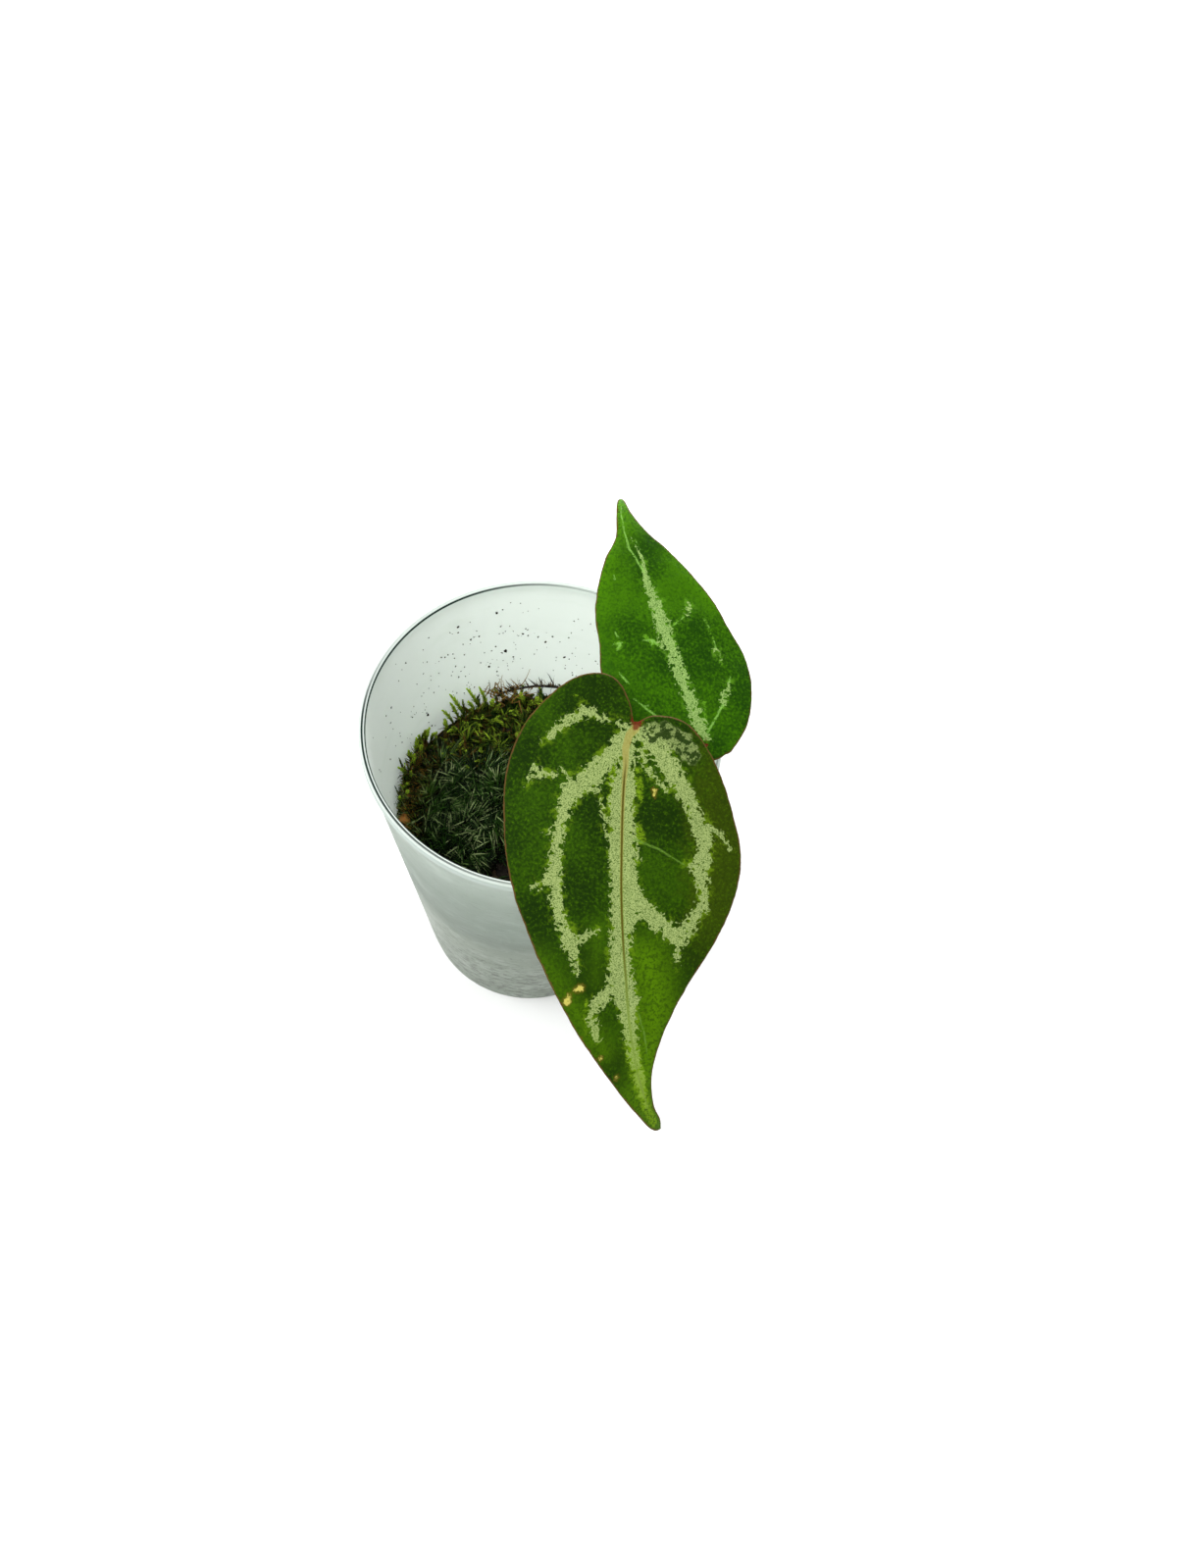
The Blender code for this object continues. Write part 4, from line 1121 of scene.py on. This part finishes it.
def dead_leaves(mat, count, draw, hue):
    """Short dead leaves and scraps that cover a mat's felt."""
    places = mat_places(mat, count, draw, 0)
    feet = np.array([(x, y, mat_top(x, y, share) - 0.9) for x, y, share in places])
    ways = unit(draw.normal(0, 1, (count, 3)) * (1, 1, 0.5) + (0, 0, 0.5))
    falls = draw.normal(0, 0.3, (count, 3))
    hues = np.clip(hue + draw.normal(0, 0.25, count), 0, 1)
    lengths, widths = draw.uniform(1.2, 3.0, count), draw.uniform(0.4, 0.8, count)
    points, faces, marks = needles(feet, ways, falls, lengths, widths, hues, (0.8, 1.0, 0.6))
    marks["tipward"] = marks["tipward"] * 0.3
    return points, faces, marks


def star_mat():
    """The whole mat. Its shoots lean out from the tufts' middles, and are short in the bare front corner."""
    draw = np.random.default_rng(5)
    groups = [felt(CUSHION, 0.8), dead_leaves(CUSHION, DEAD_LEAVES, draw, 0.2)]
    for x, y, share in mat_places(CUSHION, STAR_COUNT, draw, STAR_GAP) + CORNER_STARS:
        if y > SPILL_BACK + SPILL_SLOPE * (x - SPILL_LEFT):
            continue
        bare = x > BARE_CORNER[0] and y < BARE_CORNER[1]
        away = min((np.array((x, y)) - tuft for tuft in TUFTS), key=np.linalg.norm)
        far = min(1.2, np.linalg.norm(away) / TUFT_WIDTH)
        lean = away / TUFT_WIDTH * 1.4 + draw.normal(0, 0.08, 2)
        if math.hypot(x, y) > NEAR_WALL:
            lean = lean * 0.3
        foot = np.array((x, y, mat_top(x, y, share) - 2.6 + 2.8 * (1 - far * far)))
        reach = draw.uniform(*(BARE_REACH if bare else NEEDLE_REACH))
        hue = 0.15 if bare else 0.18 + 0.42 * far + 0.2 * noise.noise(Vector((x, y, 9)) * 0.16)
        count = STAR_NEEDLES + draw.integers(-4, 5)
        groups.append(star(foot, leaning(lean), count, reach, draw, hue, 0.85 - 0.4 * far))
    return groups


NEEDLE_GREEN = srgb(13, 30, 8)
NEEDLE_LIGHT = srgb(66, 118, 26)
NEEDLE_TIP_AND_GLINT = srgb(190, 202, 146)
OLD_BROWN_AND_SHADE = srgb(34, 27, 11)
EDGE_RUST = srgb(164, 124, 50)
EDGE_OLIVE = srgb(140, 160, 48)
# Near black: the felt's old stems, with the shade down in the mats painted into them
FELT_DARK_AND_SHADE = srgb(14, 12, 6)


def cushion_moss(place):
    tipward = place.mark("tipward")
    hue = place.mark("hue")
    patch = place.cloud(0.14, 3)
    mixed = place.cloud(0.8, 3, 0.6)
    by_wall = place.axes()[0].ramp(-27, -36)
    colour = layered((hue * 0.8 + patch * 0.5).ramp(0.4, 0.95).tint(NEEDLE_GREEN, NEEDLE_LIGHT), (
        # Pale needle tips: partly dried tips, partly a painted highlight
        (tipward.ramp(0.05, 0.75) * hue.ramp(0.44, 0.78) * 0.8, NEEDLE_TIP_AND_GLINT),
        ((patch + by_wall * 0.14 + hue * 0.12).ramp(0.66, 0.78) * 0.75, OLD_BROWN_AND_SHADE),
        (by_wall * mixed.ramp(0.50, 0.60) * hue.ramp(0.6, 0.3) * 0.85, EDGE_RUST),
        (by_wall * mixed.ramp(0.52, 0.42) * hue.ramp(0.3, 0.6) * 0.85, EDGE_OLIVE),
        # Painted shade: the needles' lower parts turn old brown and dark down in the mat, and the felt near
        # black
        (tipward.ramp(0.3, 0.0) * 0.9, OLD_BROWN_AND_SHADE),
        (tipward.ramp(-0.1, -0.4), FELT_DARK_AND_SHADE),
    ))
    return grown(colour, place.cloud(3.0, 3), (0.38, 0.3), (0.3, 0.2), 0.12)


add_piece("cushion_moss_mat", star_mat(), make_finish(cushion_moss), ["moss_cushion"])


# The feather moss: a looser, brighter mat along the back wall. Its shoots are like little firs, each a
# thin stem with rows of small overlapping leaves, yellow-green where fresh and brown where it has died.
FEATHER = (np.array((-7, 24)), (38, 17), 1)
FEATHER_LITTER = 1800
FROND_COUNT = 205
FROND_GAP = 1.3
SPILLED_FRONDS = 55
BY_WALL = 31
# How fresh a frond may be, from dead at 0 to bright at 1
FROND_HUES = (0.1, 0.3, 0.45, 0.6, 0.9)
WALL_HUES = (0.1, 0.5, 0.8, 1.0)
SPILLED_HUES = (0.0, 0.1, 0.3, 0.6)
LEAF_SPACING = 0.26
LEAF_WIDTH = 0.62
FROND_STEM = 0.16
# Which way round each shoot by the wall stands, in degrees
WALL_FRONDS = [*np.linspace(158, 189, 28), *np.linspace(207, 226, 14)]
# Fresh shoots that stand up along the wall: foot, the way each leans and its length
TALL_SHOOTS = (
    ((-34.3, 14.3, 70.5), (0.12, 0.02), 11), ((-33, 15.8, 71), (0.2, 0), 5.5),
    ((-28.6, 19.2, 71), (-0.1, 0), 7), ((-27.5, 22.5, 71), (-0.3, -0.05), 8.5),
    ((-26.2, 24, 71), (-0.2, 0), 10), ((-24.7, 24.8, 71), (-0.25, 0), 13.5),
    ((-22.4, 27, 71.5), (-0.15, -0.1), 8), ((-21.1, 28.3, 71.5), (-0.25, 0), 11.5),
    ((-18.9, 28.9, 71.5), (-0.15, 0), 12.5), ((-18, 28.4, 71.5), (0.1, -0.1), 9.5),
    ((-8, 31, 72), (-0.2, 0.1), 7), ((-6, 31.4, 72), (0.2, 0), 6.5),
)
# Where dark green stars have crept in among them, three at each place
FEATHER_STARS = (
    (-18.7, 23.2), (-12.5, 26.5), (-15, 16.5), (-22, 17.5), (-8, 19), (-5.5, 25.5), (0, 21), (6, 26),
)


def frond(foot, way, fall, length, draw, hue, leaf_length=1.7):
    """One shoot: a curved stem, and leaves in turn along it that point towards its tip."""
    steps = int(length / LEAF_SPACING)
    share = np.linspace(0, 1, steps)
    course = foot + way * (length * share)[:, None] + fall * (length * share ** 2)[:, None]
    ahead = unit(np.gradient(course, axis=0))
    outward = spiral(ahead, (0.3, 0.9, 0.31), steps, draw)
    spread = draw.uniform(0.4, 0.85, (steps, 1))
    ways = unit(ahead * np.cos(spread) + outward * np.sin(spread))
    falls = ahead * 0.25 - outward * 0.12 + draw.normal(0, 0.05, (steps, 3))
    sizes = leaf_length * np.sin(math.pi * (0.16 + 0.78 * share)) * draw.uniform(0.75, 1.15, steps)
    hues = np.clip(hue * (0.45 + 0.55 * share) + 0.3 * share ** 2 + draw.normal(0, 0.08, steps), 0, 1)
    leaves = needles(course, ways, falls, sizes, np.full(steps, LEAF_WIDTH), hues, (0.7, 1.0, 0.6))
    picks = course[::3] if len(course[::3]) > 2 else course
    points, faces = stalk(picks, np.full(len(picks), FROND_STEM), 4, (0.3, 0.9, 0.31))
    return [leaves, marked((keep_inside(points), faces), hue=hue * 0.5)]


def feather_mat():
    """The whole mat: its own fronds and dark stars, fronds by the wall and over the cushion, tall shoots."""
    draw = np.random.default_rng(8)
    groups = [felt(FEATHER, 1.2), dead_leaves(FEATHER, FEATHER_LITTER, draw, 0.15)]
    for x, y, share in mat_places(FEATHER, FROND_COUNT, draw, FROND_GAP):
        turn = draw.uniform(0, math.tau)
        by_wall = math.hypot(x, y) > BY_WALL
        way = leaning(0.5 * bearing(turn), 1.5 if by_wall else 0.7)
        fall = np.array((*bearing(turn + 0.8), -0.5)) * draw.uniform(0.1, 0.5)
        foot = np.array((x, y, mat_top(x, y, share) - 1.7))
        length = draw.uniform(4, 9.5) if by_wall else draw.uniform(4.5, 8)
        if by_wall:
            hue = draw.uniform(0.1, 1.0)
        else:
            hue = draw.choice(FROND_HUES) + draw.normal(0, 0.06)
        groups += frond(foot, way, fall, length, draw, hue)
    for x, y in FEATHER_STARS:
        for _ in range(3):
            place = np.array((x, y)) + draw.normal(0, 1.3, 2)
            axis = leaning(draw.normal(0, 0.3, 2))
            foot = np.array((*place, soil_height(*place) + MAT_HEIGHT + draw.uniform(-1, 0.5)))
            groups.append(star(foot, axis, 20, draw.uniform(4.5, 6.5), draw, 0.5, 1.2))
    for degrees in WALL_FRONDS:
        flat = (bore_radius(SOIL_LEVEL) - draw.uniform(0.4, 2.4)) * bearing(math.radians(degrees))
        foot = np.array((*flat, draw.uniform(68, 70)))
        way = leaning(draw.normal(0, 0.2, 2), 1.2)
        length = draw.uniform(7, 10) if degrees < 186 else draw.uniform(4.5, 7)
        groups += frond(foot, way, draw.normal(0, 0.15, 3), length, draw, draw.choice(WALL_HUES))
    for _ in range(SPILLED_FRONDS):
        x = draw.uniform(-36, -13)
        y = draw.uniform(6.5, 14) + SPILL_SLOPE * (x - SPILL_LEFT)
        way = leaning(0.6 * bearing(draw.uniform(0, math.tau)), 0.6)
        foot = np.array((x, y, soil_height(x, y) + MAT_HEIGHT - 0.8))
        fall = draw.normal(0, 0.2, 3)
        groups += frond(foot, way, fall, draw.uniform(4, 7), draw, draw.choice(SPILLED_HUES))
    for foot, lean, length in TALL_SHOOTS:
        fall = np.array((lean[0] * 0.5, lean[1] * 0.5, -0.12))
        groups += frond(np.array(foot), leaning(lean, 1.4), fall, length, draw, 1.0, 1.8)
    return groups


FEATHER_FRESH = srgb(192, 224, 66)
FEATHER_GREEN = srgb(24, 52, 10)
FEATHER_DEAD = srgb(98, 72, 26)


def feather_moss(place):
    hue = place.mark("hue")
    tipward = place.mark("tipward")
    colour = layered(hue.ramp(0.45, 1.05).tint(FEATHER_GREEN, FEATHER_FRESH), (
        (tipward.ramp(0.3, 1.0) * hue.ramp(0.3, 0.7) * 0.4, FEATHER_FRESH),
        ((hue * 0.8 + place.cloud(0.22, 3)).ramp(0.78, 0.6), FEATHER_DEAD),
        # The felt: near black, with painted shade
        (tipward.ramp(-0.1, -0.4), FELT_DARK_AND_SHADE),
    ))
    return grown(colour, place.cloud(3.0, 3), (0.45, 0.3), (0.3, 0.2), 0.15)


feather_finish = make_finish(feather_moss, (0.2, srgb(150, 190, 50)))
add_piece("feather_moss_mat", feather_mat(), feather_finish, ["moss_feather"])


# Loose bits: a dead, bristly moss stem that has fallen across the back of the mat, an orange scrap of
# dead leaf on the left, and specks of dried soil that cling to the inside of the wall.
SPRIG = (
    (0.8, 36.2, 77.4), (-3, 35.6, 77.8), (-6.5, 35.2, 77.4), (-10.2, 34, 77), (-13.5, 33.2, 76),
    (-16.5, 31.5, 75),
)
SPRIG_RADIUS = 0.44
BRISTLE_COUNT = 84
BRISTLE_WIDTH = 0.42
TANGLE_MIDDLE = (-14.0, 32.2, 75.2)
TANGLE_SPREAD = (3.0, 1.1, 0.8)
TANGLE_CURLS = 36
CURL_RADIUS = 0.2
SCRAPS = ((-34.8, -12.0, 74.3), (-34.0, -13.6, 73.9), (-35.2, -10.6, 74.0))
SCRAP_SIZES = (1.3, 0.9, 0.8)
SPECK_COUNT = 260
# Share of the specks that gather at the back, and which way round that is, in degrees
AT_BACK = 0.7
BACK = (118, 32)
# The largest specks: which way round the wall in degrees, how high and how large
BIG_SPECKS = ((105, 95.4, 0.55), (88, 86.5, 0.6), (130, 104.6, 0.5), (110, 99, 0.35), (96, 92, 0.4))


def dead_sprig():
    """The fallen stem with its upturned bristles, and the brown tangle that its end lies in."""
    draw = np.random.default_rng(3)
    up = np.array((0, 0, 1))
    course = smooth_through(SPRIG, 0.5)
    radii = SPRIG_RADIUS - 0.2 * np.linspace(0, 1, len(course))
    groups = [marked(stalk(course, radii, 7, up), hue=0.1)]
    count = BRISTLE_COUNT
    picks = np.sort(draw.integers(2, len(course) - 1, count))
    ahead = unit(np.gradient(course, axis=0))[picks]
    side = unit(np.cross(ahead, up))
    turns = draw.uniform(-1.5, 1.5, (count, 1))
    outward = up * np.cos(turns) + side * np.sin(turns)
    ways = unit(ahead * draw.uniform(0.1, 1.1, (count, 1)) + outward)
    falls = ahead * draw.uniform(-0.5, 0.4, (count, 1)) + side * draw.normal(0, 0.3, (count, 1))
    lengths = draw.uniform(2.0, 5.2, count) * np.abs(np.cos(turns[:, 0] * 0.7))
    widths = np.full(count, BRISTLE_WIDTH)
    groups.append(needles(course[picks], ways, falls, lengths, widths, draw.uniform(0, 1, count), gap=0.5))
    steps = np.linspace(0, 1, 8)[:, None]
    radii = CURL_RADIUS * (1.1 - 0.8 * steps[:, 0])
    for _ in range(TANGLE_CURLS):
        foot = np.array(TANGLE_MIDDLE) + draw.normal(0, 1, 3) * TANGLE_SPREAD
        way = unit(draw.normal(0, 1, 3) + (0, 0, 0.7))
        curl = np.cross(way, draw.normal(0, 1, 3)) * draw.uniform(0.5, 1.6)
        length = draw.uniform(2.5, 5.5)
        line = foot + way * length * steps + curl * length * 0.5 * steps ** 2
        curled = stalk(keep_inside(line, 0.7), radii, 5, (0.31, 0.9, 0.3))
        groups.append(marked(curled, hue=draw.uniform(0.4, 1.4)))
    return groups


def wall_specks():
    """Specks all round the wall, most of them at the back, and none that stands through it."""
    draw = np.random.default_rng(21)
    at_back = draw.uniform(0, 1, SPECK_COUNT) < AT_BACK
    turns = np.where(at_back, draw.normal(*BACK, SPECK_COUNT), draw.uniform(0, 360, SPECK_COUNT))
    heights = 70 + 40 * draw.beta(1.3, 1.5, SPECK_COUNT)
    sizes = 0.14 + 0.52 * draw.beta(1, 5, SPECK_COUNT)
    turns, heights, sizes = np.column_stack([(turns, heights, sizes), np.transpose(BIG_SPECKS)])
    turns = np.radians(turns)
    out = bore_radius(heights) - 0.05
    places = np.column_stack([out * np.cos(turns), out * np.sin(turns), heights])
    points, faces, marks = crumbs(places, sizes, draw, 1, 0.4)
    return [(keep_inside(points, 0.02), faces, marks)]


BRISTLE_TAN = srgb(138, 106, 40)
BRISTLE_DARK = srgb(18, 12, 8)
SCRAP_ORANGE = srgb(168, 96, 36)


def dead_stem(place):
    grain = place.cloud(1.2, 3, 0.6)
    colour = (grain * 0.5 + place.mark("hue") * 0.6).ramp(0.3, 1.0).tint(BRISTLE_DARK, BRISTLE_TAN)
    return grown(colour, grain, (0.45, 0.3), (0.3, 0.2), 0.35)


def dead_leaf(place):
    grain = place.cloud(0.9, 4, 0.65)
    colour = grain.ramp(0.35, 0.65).tint(SCRAP_ORANGE, BRISTLE_TAN)
    return grown(colour, grain, (0.5, 0.3), (0.6, 0.3), 0.35)


scraps = crumbs(np.array(SCRAPS), SCRAP_SIZES, np.random.default_rng(4), 3, 0.35)
add_piece("dead_sprig", dead_sprig(), make_finish(dead_stem))
add_piece("leaf_scrap", [scraps], make_finish(dead_leaf))
add_piece("soil_specks", wall_specks(), soil_finish)


# The floor, the lights and the camera: a plain pale surface, a broad soft light above, two weaker ones at
# the back and the side and an even surround, seen from the photograph's angle. Sizes here are in metres.
FLOOR_SIZE = 3.0
SURROUND_STRENGTH = 0.84


def area_light(name, place, aim, size, power):
    lamp = bpy.data.lights.new(name, "AREA")
    lamp.shape = "DISK"
    lamp.size = size
    lamp.energy = power
    light = bpy.data.objects.new(name, lamp)
    light.location = place
    light.rotation_euler = (Vector(place) - Vector(aim)).to_track_quat("Z", "Y").to_euler()
    bpy.context.scene.collection.objects.link(light)


def pale_floor(place):
    pale = place.cloud(0.02, 2).tint(srgb(246, 247, 247), srgb(250, 250, 250))
    return {"Base Color": pale, "Roughness": 0.9, "Specular IOR Level": 0.1}


bpy.ops.mesh.primitive_plane_add(size=FLOOR_SIZE, location=(0, 0, 0))
floor = bpy.context.object
floor.name = "floor"
floor.data.materials.append(make_finish(pale_floor))

area_light("key_light", (-0.35, -0.25, 1.0), (0, 0, 0.08), 0.6, 6.0)
area_light("back_light", (0.05, 0.9, 0.2), (0, 0, 0.09), 0.5, 14.0)
area_light("side_light", (-0.8, 0.1, 0.2), (0, 0, 0.08), 0.5, 2.0)
world = bpy.data.worlds.new("surround")
world.use_nodes = True
surround = world.node_tree.nodes["Background"].inputs
surround["Color"].default_value = (1, 1, 1, 1)
surround["Strength"].default_value = SURROUND_STRENGTH
bpy.context.scene.world = world
bpy.context.scene.view_settings.view_transform = "Standard"

# The camera looks down by this much and is rolled by this much. Its focal length is in pixels of a
# picture that is this many pixels high.
LOOKS_DOWN = math.radians(60.8)
ROLL = math.radians(8.4)
FOCAL_PIXELS = 1202
PICTURE_HEIGHT = 1599
SENSOR = 36
CAMERA_PLACE = (0.01348, -0.15375, 0.36289)
view = bpy.data.cameras.new("camera")
view.sensor_width = SENSOR
view.lens = SENSOR * FOCAL_PIXELS / PICTURE_HEIGHT
camera = bpy.data.objects.new("camera", view)
turn = Matrix.Rotation(math.pi / 2 - LOOKS_DOWN, 4, "X") @ Matrix.Rotation(ROLL, 4, "Z")
camera.matrix_world = Matrix.Translation(CAMERA_PLACE) @ turn
bpy.context.scene.collection.objects.link(camera)
bpy.context.scene.camera = camera
